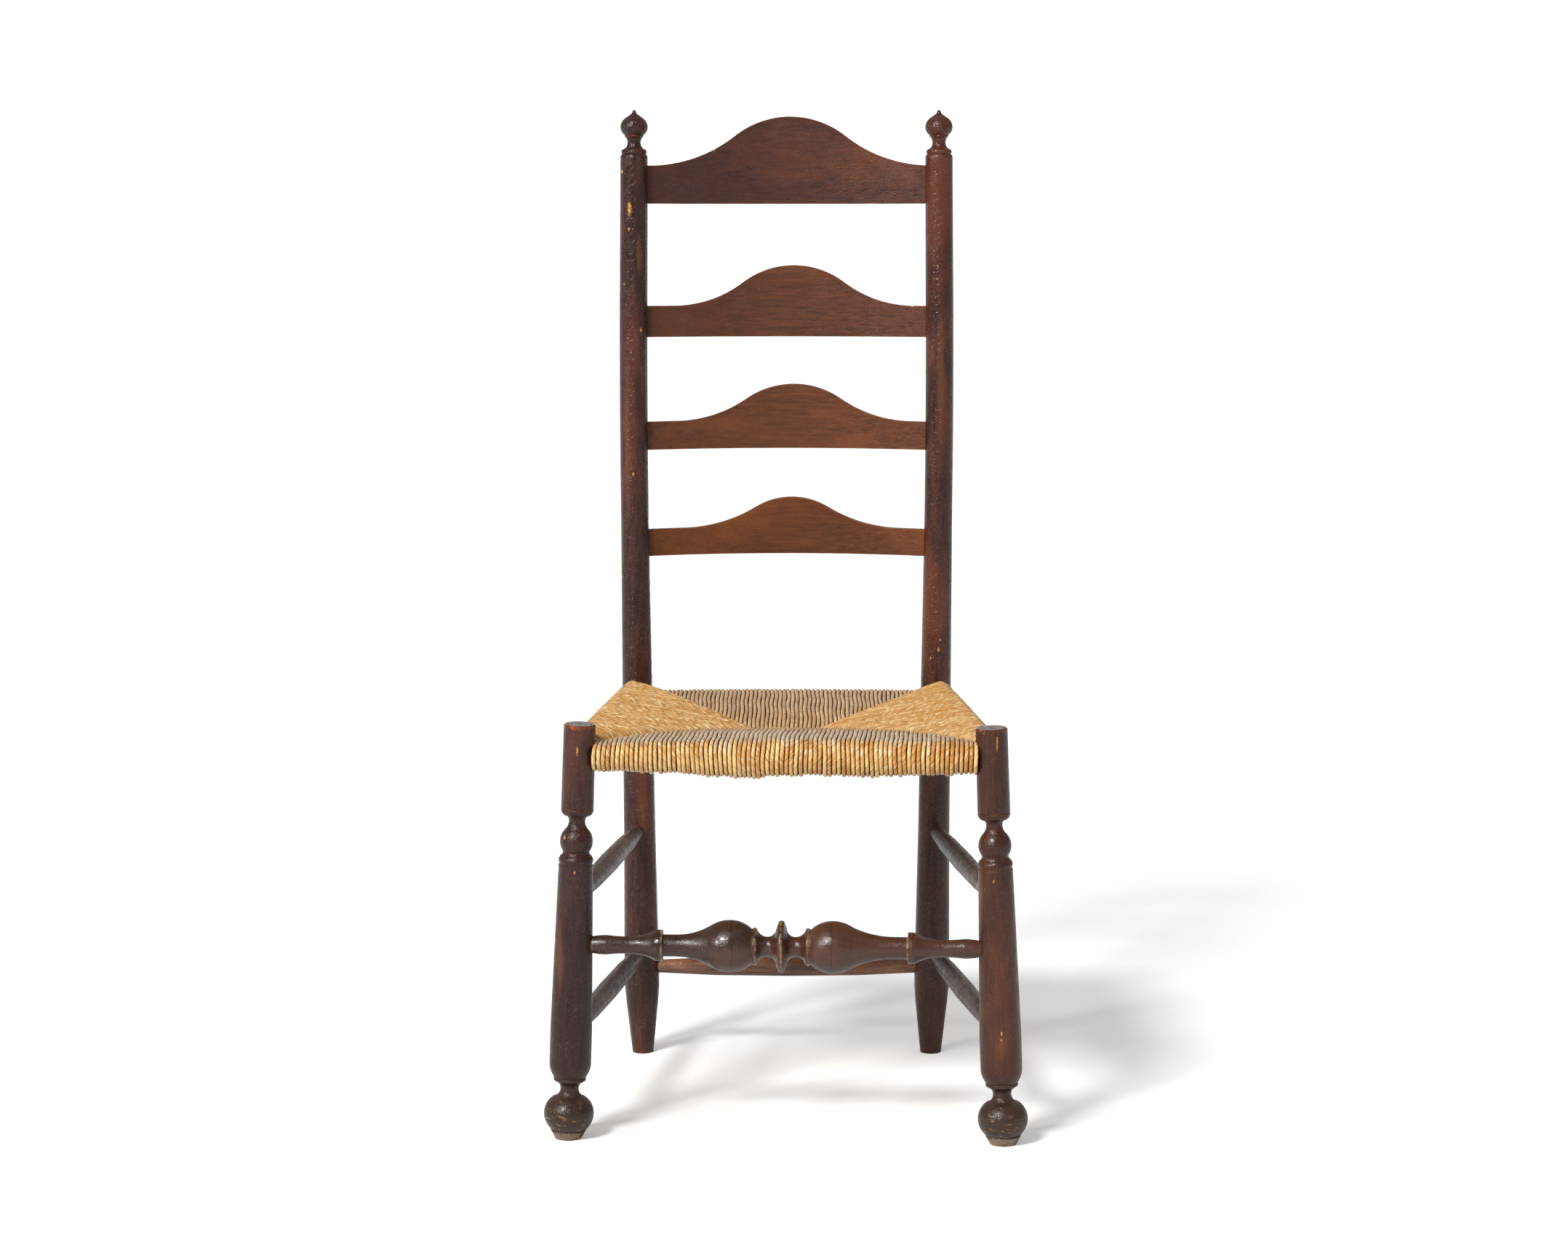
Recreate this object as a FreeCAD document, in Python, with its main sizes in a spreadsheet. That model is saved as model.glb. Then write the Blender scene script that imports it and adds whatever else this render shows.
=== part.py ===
import FreeCAD, Part
import math
import os

import Sketcher
from FreeCAD import Placement, Rotation, Vector

# A four-slat ladderback chair with turned posts, turned front legs and a rush seat.
# The chair stands on z = 0 and faces -Y; its origin is the middle of its floor rectangle.
# Left and right are as seen from the front, so left is -X.

# Driving dimensions in millimetres and degrees
DIMENSIONS = {
    # Plan and stance
    "front_spacing": 430.6,
    "rear_spacing": 338.2,
    "seat_depth": 400.0,
    "left_leg_setback": 23.0,
    "leg_splay": 2.0,
    "post_splay": 0.6,
    "post_lean": 1.0,
    "post_top_inward": 0.35,
    "post_top_lean": 3.5,
    # Fits
    "fit_gap": 0.1,
    "rush_gap": 0.3,
    "foot_trim": 1.0,
    "floor_block_width": 106.0,
    "floor_block_depth": 4.0,
    # Front leg, heights from the floor for its foot
    "leg_length": 446.3,
    "foot_base_radius": 13.4,
    "foot_base_height": 9.0,
    "foot_lip_radius": 18.9,
    "ball_groove_radius": 18.1,
    "ball_groove_width": 1.8,
    "ball_bottom_radius": 19.4,
    "ball_radius": 26.5,
    "ball_height": 27.5,
    "ball_top_radius": 17.3,
    "ball_top_height": 44.6,
    "ankle_radius": 9.7,
    "ankle_height": 54.0,
    "disc_underside_radius": 14.4,
    "disc_underside_height": 61.6,
    "disc_radius": 17.2,
    "disc_height": 63.4,
    "disc_thickness": 2.4,
    "heel_groove_radius": 16.6,
    "heel_groove_width": 1.4,
    "heel_height": 82.0,
    "shaft_radius": 22.1,
    "shaft_full_height": 120.0,
    # Front leg, drops from its top face for what is turned above the shaft
    "shaft_top_radius": 18.2,
    "shaft_top_drop": 150.3,
    "ring_groove_radius": 17.3,
    "ring_groove_width": 2.0,
    "ring_radius": 18.3,
    "ring_drop": 145.3,
    "ring_top_radius": 16.7,
    "ring_top_drop": 140.9,
    "waist_radius": 14.0,
    "waist_drop": 135.9,
    "vase_radius": 17.4,
    "vase_drop": 125.3,
    "vase_shoulder_radius": 13.0,
    "vase_shoulder_drop": 113.4,
    "throat_radius": 8.6,
    "throat_drop": 103.2,
    "throat_flare_radius": 10.8,
    "throat_flare_drop": 98.0,
    "block_bottom_radius": 17.2,
    "block_bottom_drop": 91.5,
    "block_line_drop": 90.1,
    "block_line_depth": 0.5,
    "block_top_radius": 16.8,
    "block_edge_round": 1.5,
    # Rear post, lengths along the wood from the floor
    "post_length": 1072.5,
    "post_foot_radius": 11.8,
    "post_taper_radius": 18.3,
    "post_taper_height": 60.0,
    "post_calf_radius": 19.7,
    "post_calf_height": 76.0,
    "post_heel_radius": 20.0,
    "post_heel_height": 96.0,
    "post_shin_radius": 17.9,
    "post_shin_height": 262.0,
    "post_seat_radius": 17.2,
    "post_bend_start": 620.0,
    "post_bend_length": 240.0,
    "post_bend_radius": 15.7,
    "post_top_radius": 15.4,
    # Finial, heights above its shoulder notch
    "finial_length": 49.0,
    "shoulder_length": 4.6,
    "shoulder_edge": 0.8,
    "shoulder_radius": 14.3,
    "notch_radius": 13.3,
    "bead_radius": 14.3,
    "bead_height": 2.3,
    "bead_top_radius": 13.0,
    "bead_top_height": 5.2,
    "neck_radius": 7.4,
    "neck_height": 12.6,
    "neck_flare_radius": 9.3,
    "neck_flare_height": 18.6,
    "collar_radius": 10.7,
    "collar_height": 19.6,
    "collar_thickness": 1.6,
    "urn_radius": 15.4,
    "urn_height": 29.8,
    "urn_shoulder_radius": 9.4,
    "urn_shoulder_height": 40.7,
    "tip_root_radius": 4.4,
    "tip_root_height": 44.2,
    "tip_radius": 1.9,
    "tip_length": 0.8,
    # Slats, drops of their bottom edges below the post tips
    "slat_thickness": 8.0,
    "slat_bow": 36.0,
    "slat_tenon": 16.0,
    "top_slat_drop": 104.2,
    "top_slat_end": 42.6,
    "top_slat_rise": 55.4,
    "top_slat_shoulder": 12.0,
    "top_slat_crown": 100.0,
    "top_slat_shift": 4.0,
    "upper_slat_drop": 253.6,
    "upper_slat_end": 35.0,
    "upper_slat_rise": 45.4,
    "upper_slat_shoulder": 37.0,
    "upper_slat_crown": 95.0,
    "upper_slat_shift": 8.0,
    "lower_slat_drop": 380.7,
    "lower_slat_end": 31.6,
    "lower_slat_rise": 41.0,
    "lower_slat_shoulder": 39.6,
    "lower_slat_crown": 95.0,
    "lower_slat_shift": 8.0,
    "bottom_slat_drop": 501.2,
    "bottom_slat_end": 30.3,
    "bottom_slat_rise": 33.8,
    "bottom_slat_shoulder": 49.0,
    "bottom_slat_crown": 80.0,
    "bottom_slat_shift": 6.0,
    # Seat rails, front rail drop from the leg tops and rear rail fall below it
    "front_rail_drop": 30.0,
    "rear_rail_fall": 12.0,
    "side_rail_lift": 1.5,
    "rail_half_width": 13.0,
    "rail_half_height": 10.0,
    "rail_taper_length": 30.0,
    "rail_tenon_radius": 8.0,
    "rail_tenon_length": 16.0,
    # Stretchers and rungs, heights above the floor
    "stretcher_height": 209.8,
    "stretcher_tenon_radius": 8.2,
    "stretcher_end_radius": 9.0,
    "stretcher_swell_radius": 10.4,
    "stretcher_swell_place": 189.0,
    "stretcher_waist_radius": 9.0,
    "stretcher_waist_place": 165.0,
    "cuff_radius": 16.7,
    "cuff_place": 133.2,
    "cuff_half_width": 3.8,
    "cuff_line_depth": 0.5,
    "arm_radius": 11.7,
    "arm_place": 115.0,
    "bulb_start_radius": 21.0,
    "bulb_start_place": 76.0,
    "bulb_radius": 27.8,
    "bulb_place": 54.0,
    "bulb_end_radius": 19.0,
    "bulb_end_place": 31.5,
    "ring_crest_radius": 20.0,
    "ring_place": 28.2,
    "ring_half_width": 2.4,
    "ring_edge_radius": 18.6,
    "cove_radius": 10.5,
    "cove_place": 14.8,
    "disc_edge_radius": 26.2,
    "disc_crest_radius": 27.7,
    "disc_half_width": 3.0,
    "disc_root_radius": 19.0,
    "disc_root_half_width": 5.6,
    "pattern_shift": -4.0,
    "rear_stretcher_height": 99.5,
    "upper_rung_front_drop": 182.3,
    "upper_rung_rear_height": 258.4,
    "lower_rung_front_height": 119.2,
    "lower_rung_rear_height": 117.0,
    "rung_tenon_radius": 7.5,
    "rung_swell_radius": 11.4,
    "left_rung_fall": 5.0,
    "rung_tenon_length": 18.0,
    # Rush seat, heights above the rails they belong to
    "front_roll_crest": 16.5,
    "front_roll_end_crest": 11.8,
    "front_roll_bottom": 23.0,
    "front_roll_end_bottom": 15.2,
    "side_roll_crest": 17.0,
    "side_roll_end_crest": 14.5,
    "side_roll_bottom": 18.5,
    "side_roll_end_bottom": 15.4,
    "rear_roll_crest": 16.0,
    "rear_roll_end_crest": 14.8,
    "rear_roll_bottom": 18.0,
    "rear_roll_end_bottom": 15.4,
    "front_roll_overhang": 19.5,
    "front_roll_end_overhang": 18.4,
    "side_roll_overhang": 17.4,
    "side_roll_end_overhang": 16.8,
    "rear_roll_overhang": 19.5,
    "rear_roll_end_overhang": 18.4,
    "roll_end_inset": 2.6,
    "seat_dip": 11.0,
    "seat_middle_thickness": 14.0,
    "seam_half_length": 35.0,
    "seam_depth": 197.0,
    # Stuffing between the rush layers
    "stuffing_start": 22.0,
    "stuffing_margin": 12.0,
    "stuffing_layer": 6.5,
    "stuffing_end_height": 7.0,
}

LINE = "line"
UPRIGHT_START = "arc that leaves its first point parallel to the y axis"
UPRIGHT_END = "arc that reaches its last point parallel to the y axis"
LEVEL_START = "arc that leaves its first point parallel to the x axis"
LEVEL_END = "arc that reaches its last point parallel to the x axis"

LEFT = -1
RIGHT = 1

# How far out the plan of a rush panel is drawn along its mitred seam; 1 is its corner
PLAN_OVERRUN = 1.25

SIDE_NAMES = {LEFT: "left", RIGHT: "right"}


class Size:
    """A dimension as a number, with the sheet formula that gives the same number."""

    def __init__(self, value, formula=None):
        self.value = float(value)
        self.formula = formula or str(self.value)

    def __add__(self, other):
        other = as_size(other)
        return Size(self.value + other.value, f"({self.formula} + {other.formula})")

    def __sub__(self, other):
        other = as_size(other)
        return Size(self.value - other.value, f"({self.formula} - {other.formula})")

    def __mul__(self, other):
        other = as_size(other)
        return Size(self.value * other.value, f"({self.formula} * {other.formula})")

    def __truediv__(self, other):
        other = as_size(other)
        return Size(self.value / other.value, f"({self.formula} / {other.formula})")

    def __neg__(self):
        return Size(-self.value, f"(-1 * {self.formula})")

    def __abs__(self):
        return Size(abs(self.value), f"abs({self.formula})")


def as_size(value):
    return value if isinstance(value, Size) else Size(value)


class SizeSheet:
    """A spreadsheet of named plain numbers; an attribute of that name is its Size."""

    def __init__(self, name):
        self.sheet = document.addObject("Spreadsheet::Sheet", name)
        self.values = {}

    def add(self, alias, value):
        row = len(self.values) + 1
        self.sheet.set(f"A{row}", alias.replace("_", " "))
        self.sheet.set(f"B{row}", repr(float(value)))
        self.sheet.setAlias(f"B{row}", alias)
        self.values[alias] = float(value)
        return Size(value, f"{self.sheet.Name}.{alias}")

    def __getattr__(self, alias):
        return Size(self.values[alias], f"{self.sheet.Name}.{alias}")


document = FreeCAD.newDocument("ladderback_chair")
size = SizeSheet("sizes")
for alias, value in DIMENSIONS.items():
    size.add(alias, value)
layout = SizeSheet("layout")
document.recompute()

pieces = {}


# Sketches and solids shared by the pieces

def edge_between(start, end, kind):
    """The curve from one outline point to the next, the Size of its radius, and its sense."""
    here = Vector(start[0].value, start[1].value, 0)
    there = Vector(end[0].value, end[1].value, 0)
    if kind == LINE:
        return Part.LineSegment(here, there), None, True
    run = end[0] - start[0]
    climb = end[1] - start[1]
    chord_squared = run * run + climb * climb
    if kind == UPRIGHT_START:
        radius = chord_squared / (run * 2)
        centre = here + Vector(radius.value, 0, 0)
    elif kind == UPRIGHT_END:
        radius = chord_squared / (-run * 2)
        centre = there + Vector(radius.value, 0, 0)
    elif kind == LEVEL_START:
        radius = chord_squared / (climb * 2)
        centre = here + Vector(0, radius.value, 0)
    else:
        radius = chord_squared / (-climb * 2)
        centre = there + Vector(0, radius.value, 0)
    forward = (here - centre).cross(there - centre).z > 0
    first, last = (here - centre, there - centre) if forward else (there - centre, here - centre)
    turn = math.atan2(first.y, first.x)
    sweep = first.getAngle(last)
    circle = Part.Circle(centre, Vector(0, 0, 1), abs(radius.value))
    return Part.ArcOfCircle(circle, turn, turn + sweep), abs(radius), forward


def draw_outline(sketch, points):
    """Draw a closed outline of (x, y, kind of edge that arrives) and tie it to the sheet."""
    ends = []
    ties = []
    count = len(points)
    for index, start in enumerate(points):
        end = points[(index + 1) % count]
        curve, radius, forward = edge_between(start, end, end[2])
        edge = sketch.addGeometry(curve)
        ends.append((1, 2) if forward else (2, 1))
        if radius is not None:
            ties.append((Sketcher.Constraint("Radius", edge, radius.value), radius))
    for index, point in enumerate(points):
        before = (index - 1) % count
        corner = ends[index][0]
        ties.append((Sketcher.Constraint("Coincident", before, ends[before][1], index, corner), None))
        for axis, name, place in ((-2, "DistanceX", point[0]), (-1, "DistanceY", point[1])):
            if abs(place.value) < 1e-9:
                ties.append((Sketcher.Constraint("PointOnObject", index, corner, axis), None))
            else:
                ties.append((Sketcher.Constraint(name, index, corner, place.value), place))
    tie_down(sketch, ties)


def tie_down(sketch, ties):
    """Add constraints, each with the Size that drives it or None."""
    sketch.addConstraint([tie for tie, _ in ties])
    for number, (_, measure) in enumerate(ties):
        if measure is not None:
            sketch.setExpression(f"Constraints[{number}]", measure.formula)


def new_body(name):
    return document.addObject("PartDesign::Body", name)


def sketch_on(body, role, name, offset=None):
    plane = next(feature for feature in body.Origin.OriginFeatures if feature.Role == role)
    sketch = body.newObject("Sketcher::SketchObject", name)
    sketch.AttachmentSupport = [(plane, "")]
    sketch.MapMode = "FlatFace"
    if offset is not None:
        sketch.AttachmentOffset = offset
    return sketch


def loose_sketch(name, placement, points):
    sketch = document.addObject("Sketcher::SketchObject", name)
    sketch.Placement = placement
    draw_outline(sketch, points)
    return sketch


def revolve(body, sketch, name):
    turning = body.newObject("PartDesign::Revolution", name)
    turning.Profile = sketch
    turning.ReferenceAxis = (sketch, ["V_Axis"])
    turning.Angle = 360
    return turning


def turned_body(name, points, placement):
    """A body turned about its own z axis from half of its outline."""
    body = new_body(name)
    sketch = sketch_on(body, "XZ_Plane", name + "_outline")
    draw_outline(sketch, points)
    revolve(body, sketch, name + "_turning")
    body.Placement = placement
    return body


def joined(kind, name, shapes):
    result = document.addObject(kind, name)
    result.Shapes = shapes
    return result


def cut(name, base, tools):
    waste = tools[0] if len(tools) == 1 else joined("Part::MultiFuse", name + "_waste", tools)
    result = document.addObject("Part::Cut", name)
    result.Base = base
    result.Tool = waste
    return result


def along(start, end, sideways=Vector(0, 0, 1)):
    """A placement whose z axis runs from start to end and whose x axis lies near sideways."""
    direction = (end - start).normalize()
    return Placement(start, Rotation(sideways, Vector(0, 0, 0), direction, "ZXY"))


def keep(node, shape):
    shape.Label = node
    pieces[node] = shape


# Lines of the legs and posts in the chair's own frame

def lean_vector(sideways_slope, backward_slope):
    sideways = math.tan(math.radians(sideways_slope))
    backward = math.tan(math.radians(backward_slope))
    return Vector(sideways, backward, 1).normalize()


class PostLine:
    """The bent centre line of a rear post, for the right side; left mirrors it."""

    def __init__(self, seat_point):
        self.lower = lean_vector(size.post_splay.value, size.post_lean.value)
        self.upper = lean_vector(-size.post_top_inward.value, size.post_top_lean.value)
        self.foot = seat_point - self.lower * (seat_point.z / self.lower.z)
        self.bend_start = size.post_bend_start.value
        self.bend_length = size.post_bend_length.value
        self.bend_angle = self.lower.getAngle(self.upper)
        self.bend_radius = self.bend_length / self.bend_angle
        self.bend_normal = (self.upper - self.lower * self.lower.dot(self.upper)).normalize()

    def point(self, length):
        """The point at a length along the wood from the floor."""
        if length <= self.bend_start:
            return self.foot + self.lower * length
        turned = min(length - self.bend_start, self.bend_length) / self.bend_radius
        forward = self.lower * (self.bend_radius * math.sin(turned))
        aside = self.bend_normal * (self.bend_radius * (1 - math.cos(turned)))
        past = max(length - self.bend_start - self.bend_length, 0)
        return self.foot + self.lower * self.bend_start + forward + aside + self.upper * past

    def at_height(self, height):
        """The point of the straight lower part at a height above the floor."""
        return self.foot + self.lower * (height / self.lower.z)

    def lean(self, length):
        """The backward lean in degrees at a length along the wood."""
        step = self.point(length + 1) - self.point(length - 1)
        return math.degrees(math.atan2(step.y, step.z))


def mirrored(point, side):
    return Vector(side * point.x, point.y, point.z)


front_rail_height = size.leg_length.value - size.front_rail_drop.value
rear_rail_height = front_rail_height - size.rear_rail_fall.value
leg_line_height = size.leg_length.value


# The left leg stands further back than the right one; zero depth here is midway between them.
# The origin lies midway between the right ball foot in front and the back of the top slat.
half_setback = size.left_leg_setback.value / 2
seat_point = Vector(size.rear_spacing.value / 2, size.seat_depth.value, rear_rail_height)
post = PostLine(seat_point)
top_slat_start = size.post_length.value - size.top_slat_drop.value
slat_plane_lean = math.tan(math.radians(size.post_top_lean.value))
top_slat_height = size.top_slat_end.value + size.top_slat_rise.value
back_of_chair = post.point(top_slat_start).y + slat_plane_lean * top_slat_height
back_of_chair += size.slat_bow.value + size.slat_thickness.value / 2
front_of_chair = -size.ball_radius.value - half_setback
front_y = -(back_of_chair + front_of_chair) / 2
post = PostLine(seat_point + Vector(0, front_y, 0))


def front_leg_point(side, height):
    reach = (leg_line_height - height) * math.tan(math.radians(size.leg_splay.value))
    sideways = size.front_spacing.value / 2 + reach
    return Vector(side * sideways, front_y - side * half_setback, height)


def post_point(side, height):
    return mirrored(post.at_height(height), side)


# Round tenons and the mortises bored for them

class CrossPiece:
    """A piece tenoned into two uprights: where it starts and ends, and the bores it needs."""

    def __init__(self, name, start, end, depths, tenon_radius, tenon_length):
        self.name = name
        self.axis = (end - start).normalize()
        self.tenon_radius = tenon_radius
        self.tenon_length = tenon_length
        self.first = start + self.axis * (depths[0] - tenon_length.value)
        self.last = end - self.axis * (depths[1] - tenon_length.value)
        self.length = layout.add(name + "_length", (self.last - self.first).Length)
        self.placement = along(self.first, self.last)

    def bore(self, at_end, label):
        """A boring of the mortise at one end, a little wider and deeper than the tenon."""
        boring = document.addObject("Part::Cylinder", f"{self.name}_{label}_bore")
        boring.setExpression("Radius", (self.tenon_radius + size.fit_gap).formula)
        boring.setExpression("Height", (self.tenon_length * 2 + size.fit_gap).formula)
        tip = self.last if at_end else self.first
        inward = -self.axis if at_end else self.axis
        start = tip - inward * size.fit_gap.value
        boring.Placement = along(start, start + inward)
        return boring


def rung_points(rung, swell):
    """Half outline of a plain rung, shaved in four straight tapers between its tenons."""
    shoulder = rung.tenon_length + size.fit_gap
    quarter = rung.length / 4
    radius = rung.tenon_radius
    quarter_radius = (radius + swell * 3) / 4
    return [
        (Size(0), Size(0), LINE),
        (radius, Size(0), LINE),
        (radius, shoulder, LINE),
        (quarter_radius, quarter, LINE),
        (swell, quarter * 2, LINE),
        (quarter_radius, quarter * 3, LINE),
        (radius, rung.length - shoulder, LINE),
        (radius, rung.length, LINE),
        (Size(0), rung.length, LINE),
    ]


def radius_between(height, low, high):
    """Radius at a height on a straight taper; low and high are pairs of height and radius."""
    share = (height - low[0]) / (high[0] - low[0])
    return low[1] + (high[1] - low[1]) * min(max(share, 0), 1)


def surface_radius_of_leg(height):
    """Radius of the tapered leg shaft, or of the block above it, at a height."""
    top = size.leg_length.value
    if height > top - size.block_bottom_drop.value:
        return size.block_bottom_radius.value
    full = (size.shaft_full_height.value, size.shaft_radius.value)
    thin = (top - size.shaft_top_drop.value, size.shaft_top_radius.value)
    return radius_between(height, full, thin)


def surface_radius_of_post(height):
    """Radius of the rear post between its heel and the seat."""
    heel = (size.post_heel_height.value, size.post_heel_radius.value)
    shin = (size.post_shin_height.value, size.post_shin_radius.value)
    seat = (rear_rail_height, size.post_seat_radius.value)
    if height < shin[0]:
        return radius_between(height, heel, shin)
    return radius_between(height, shin, seat)


rungs = {}
for side in (LEFT, RIGHT):
    side_name = SIDE_NAMES[side]
    upper_front = size.leg_length.value - size.upper_rung_front_drop.value
    fall = size.left_rung_fall.value if side == LEFT else 0.0
    lower_front = size.lower_rung_front_height.value
    heights = {
        "upper": (upper_front - fall, size.upper_rung_rear_height.value),
        "lower": (lower_front - fall, size.lower_rung_rear_height.value),
    }
    for level, (front_height, rear_height) in heights.items():
        depths = (surface_radius_of_leg(front_height), surface_radius_of_post(rear_height))
        rungs[level, side] = CrossPiece(
            f"rung_{level}_{side_name}",
            front_leg_point(side, front_height),
            post_point(side, rear_height),
            depths,
            size.rung_tenon_radius,
            size.rung_tenon_length,
        )

stretcher_depth = surface_radius_of_leg(size.stretcher_height.value)
front_stretcher = CrossPiece(
    "stretcher_front",
    front_leg_point(LEFT, size.stretcher_height.value),
    front_leg_point(RIGHT, size.stretcher_height.value),
    (stretcher_depth, stretcher_depth),
    size.stretcher_tenon_radius,
    size.rung_tenon_length,
)
rear_stretcher_depth = surface_radius_of_post(size.rear_stretcher_height.value)
rear_stretcher = CrossPiece(
    "stretcher_rear",
    post_point(LEFT, size.rear_stretcher_height.value),
    post_point(RIGHT, size.rear_stretcher_height.value),
    (rear_stretcher_depth, rear_stretcher_depth),
    size.rung_tenon_radius,
    size.rung_tenon_length,
)

for rung in list(rungs.values()) + [rear_stretcher]:
    keep(rung.name, turned_body(rung.name, rung_points(rung, size.rung_swell_radius), rung.placement))


# Front stretcher, its turned pattern mirrored about a middle disc

def stretcher_half():
    """Points from the leg to the middle disc, each as (radius, distance from the middle, kind)."""
    cuff_outside = size.cuff_place + size.cuff_half_width
    cuff_inside = size.cuff_place - size.cuff_half_width
    line_radius = size.cuff_radius - size.cuff_line_depth
    return [
        (size.stretcher_swell_radius, size.stretcher_swell_place, UPRIGHT_END),
        (size.stretcher_waist_radius, size.stretcher_waist_place, UPRIGHT_END),
        (line_radius, cuff_outside, UPRIGHT_START),
        (size.cuff_radius, size.cuff_place, LINE),
        (size.cuff_radius, cuff_inside, LINE),
        (size.arm_radius, cuff_inside - size.cuff_line_depth, LINE),
        (size.arm_radius, size.arm_place, LINE),
        (size.bulb_start_radius, size.bulb_start_place, UPRIGHT_START),
        (size.bulb_radius, size.bulb_place, UPRIGHT_END),
        (size.bulb_end_radius, size.bulb_end_place, UPRIGHT_START),
        (size.ring_edge_radius, size.ring_place + size.ring_half_width, LINE),
        (size.ring_crest_radius, size.ring_place, UPRIGHT_END),
        (size.ring_edge_radius, size.ring_place - size.ring_half_width, UPRIGHT_START),
        (size.cove_radius, size.cove_place, UPRIGHT_END),
        (size.disc_root_radius, size.disc_root_half_width, UPRIGHT_START),
        (size.disc_edge_radius, size.disc_half_width, LINE),
        (size.disc_crest_radius, Size(0), UPRIGHT_END),
    ]


def mirrored_kind(kind):
    return {UPRIGHT_START: UPRIGHT_END, UPRIGHT_END: UPRIGHT_START}.get(kind, kind)


def stretcher_points():
    shoulder = size.rung_tenon_length + size.fit_gap
    half = front_stretcher.length / 2
    full = front_stretcher.length
    radius = size.stretcher_tenon_radius
    points = [
        (Size(0), Size(0), LINE),
        (radius, Size(0), LINE),
        (radius, shoulder, LINE),
        (size.stretcher_end_radius, shoulder, LINE),
    ]
    pattern = stretcher_half()
    # Cuffs and swells keep their place from the legs; bulbs and disc follow the shifted middle.
    shifts = [size.pattern_shift if place.value < size.arm_place.value else Size(0)
              for _, place, _ in pattern]
    for (width, place, kind), shift in zip(pattern, shifts):
        points.append((width, half - place + shift, kind))
    for index in range(len(pattern) - 2, -1, -1):
        width, place, _ = pattern[index]
        kind = mirrored_kind(pattern[index + 1][2])
        points.append((width, half + place + shifts[index], kind))
    points.append((size.stretcher_end_radius, full - shoulder, mirrored_kind(pattern[0][2])))
    points.append((radius, full - shoulder, LINE))
    points.append((radius, full, LINE))
    points.append((Size(0), full, LINE))
    return points


keep("stretcher_front", turned_body("stretcher_front", stretcher_points(), front_stretcher.placement))


# Seat rails, shaved to an oval between their round tenons

def rail_form(cross, name, extra):
    """A rail of the given cross piece; extra is what is added all round for its channel."""
    shoulder = cross.tenon_length + size.fit_gap
    taper_end = shoulder + size.rail_taper_length
    stations = (
        (shoulder, cross.tenon_radius, cross.tenon_radius),
        (taper_end, size.rail_half_width, size.rail_half_height),
        (cross.length - taper_end, size.rail_half_width, size.rail_half_height),
        (cross.length - shoulder, cross.tenon_radius, cross.tenon_radius),
    )
    sections = []
    for number, (place, half_width, half_height) in enumerate(stations):
        oval = document.addObject("Part::Ellipse", f"{name}_section_{number}")
        oval.setExpression("MajorRadius", (half_width + extra).formula)
        oval.setExpression("MinorRadius", (half_height + extra).formula)
        level = along(cross.first, cross.last, Vector(0, 0, 1).cross(cross.axis))
        oval.Placement = level * Placement(Vector(0, 0, place.value), Rotation())
        sections.append(oval)
    middle = document.addObject("Part::Loft", name + "_middle")
    middle.Sections = sections
    middle.Solid = True
    middle.Ruled = True
    tenons = document.addObject("Part::Cylinder", name + "_tenons")
    tenons.setExpression("Radius", (cross.tenon_radius + extra).formula)
    tenons.setExpression("Height", (cross.length + extra * 2).formula)
    tenons.Placement = cross.placement * Placement(Vector(0, 0, -extra.value), Rotation())
    return joined("Part::MultiFuse", name, [middle, tenons])


side_front_height = front_rail_height + size.side_rail_lift.value
side_rear_height = side_front_height
leg_depth = surface_radius_of_leg(front_rail_height)
post_depth = surface_radius_of_post(rear_rail_height)


def seat_rail(name, start, end, depths):
    radius = size.rail_tenon_radius
    return CrossPiece(name, start, end, depths, radius, size.rail_tenon_length)


rails = {
    "front": seat_rail(
        "seat_rail_front",
        front_leg_point(LEFT, front_rail_height),
        front_leg_point(RIGHT, front_rail_height),
        (leg_depth, leg_depth),
    ),
    "rear": seat_rail(
        "seat_rail_rear",
        post_point(LEFT, rear_rail_height),
        post_point(RIGHT, rear_rail_height),
        (post_depth, post_depth),
    ),
}
for side in (LEFT, RIGHT):
    rails[SIDE_NAMES[side]] = seat_rail(
        f"seat_rail_{SIDE_NAMES[side]}",
        front_leg_point(side, side_front_height),
        post_point(side, side_rear_height),
        (leg_depth, post_depth),
    )

rail_bores = {
    name: (rail.bore(False, "first"), rail.bore(True, "last")) for name, rail in rails.items()
}
for side in ("left", "right"):
    keep(rails[side].name, rail_form(rails[side], rails[side].name, Size(0)))
# The side rails are driven last and lock the other tenons, which are notched by their bores.
for name, end in (("front", 0), ("rear", 1)):
    whole = rail_form(rails[name], rails[name].name + "_whole", Size(0))
    notches = [rail_bores["left"][end], rail_bores["right"][end]]
    keep(rails[name].name, cut(rails[name].name, whole, notches))


# Slats, bent backwards between the posts, with an arched top edge

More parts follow.
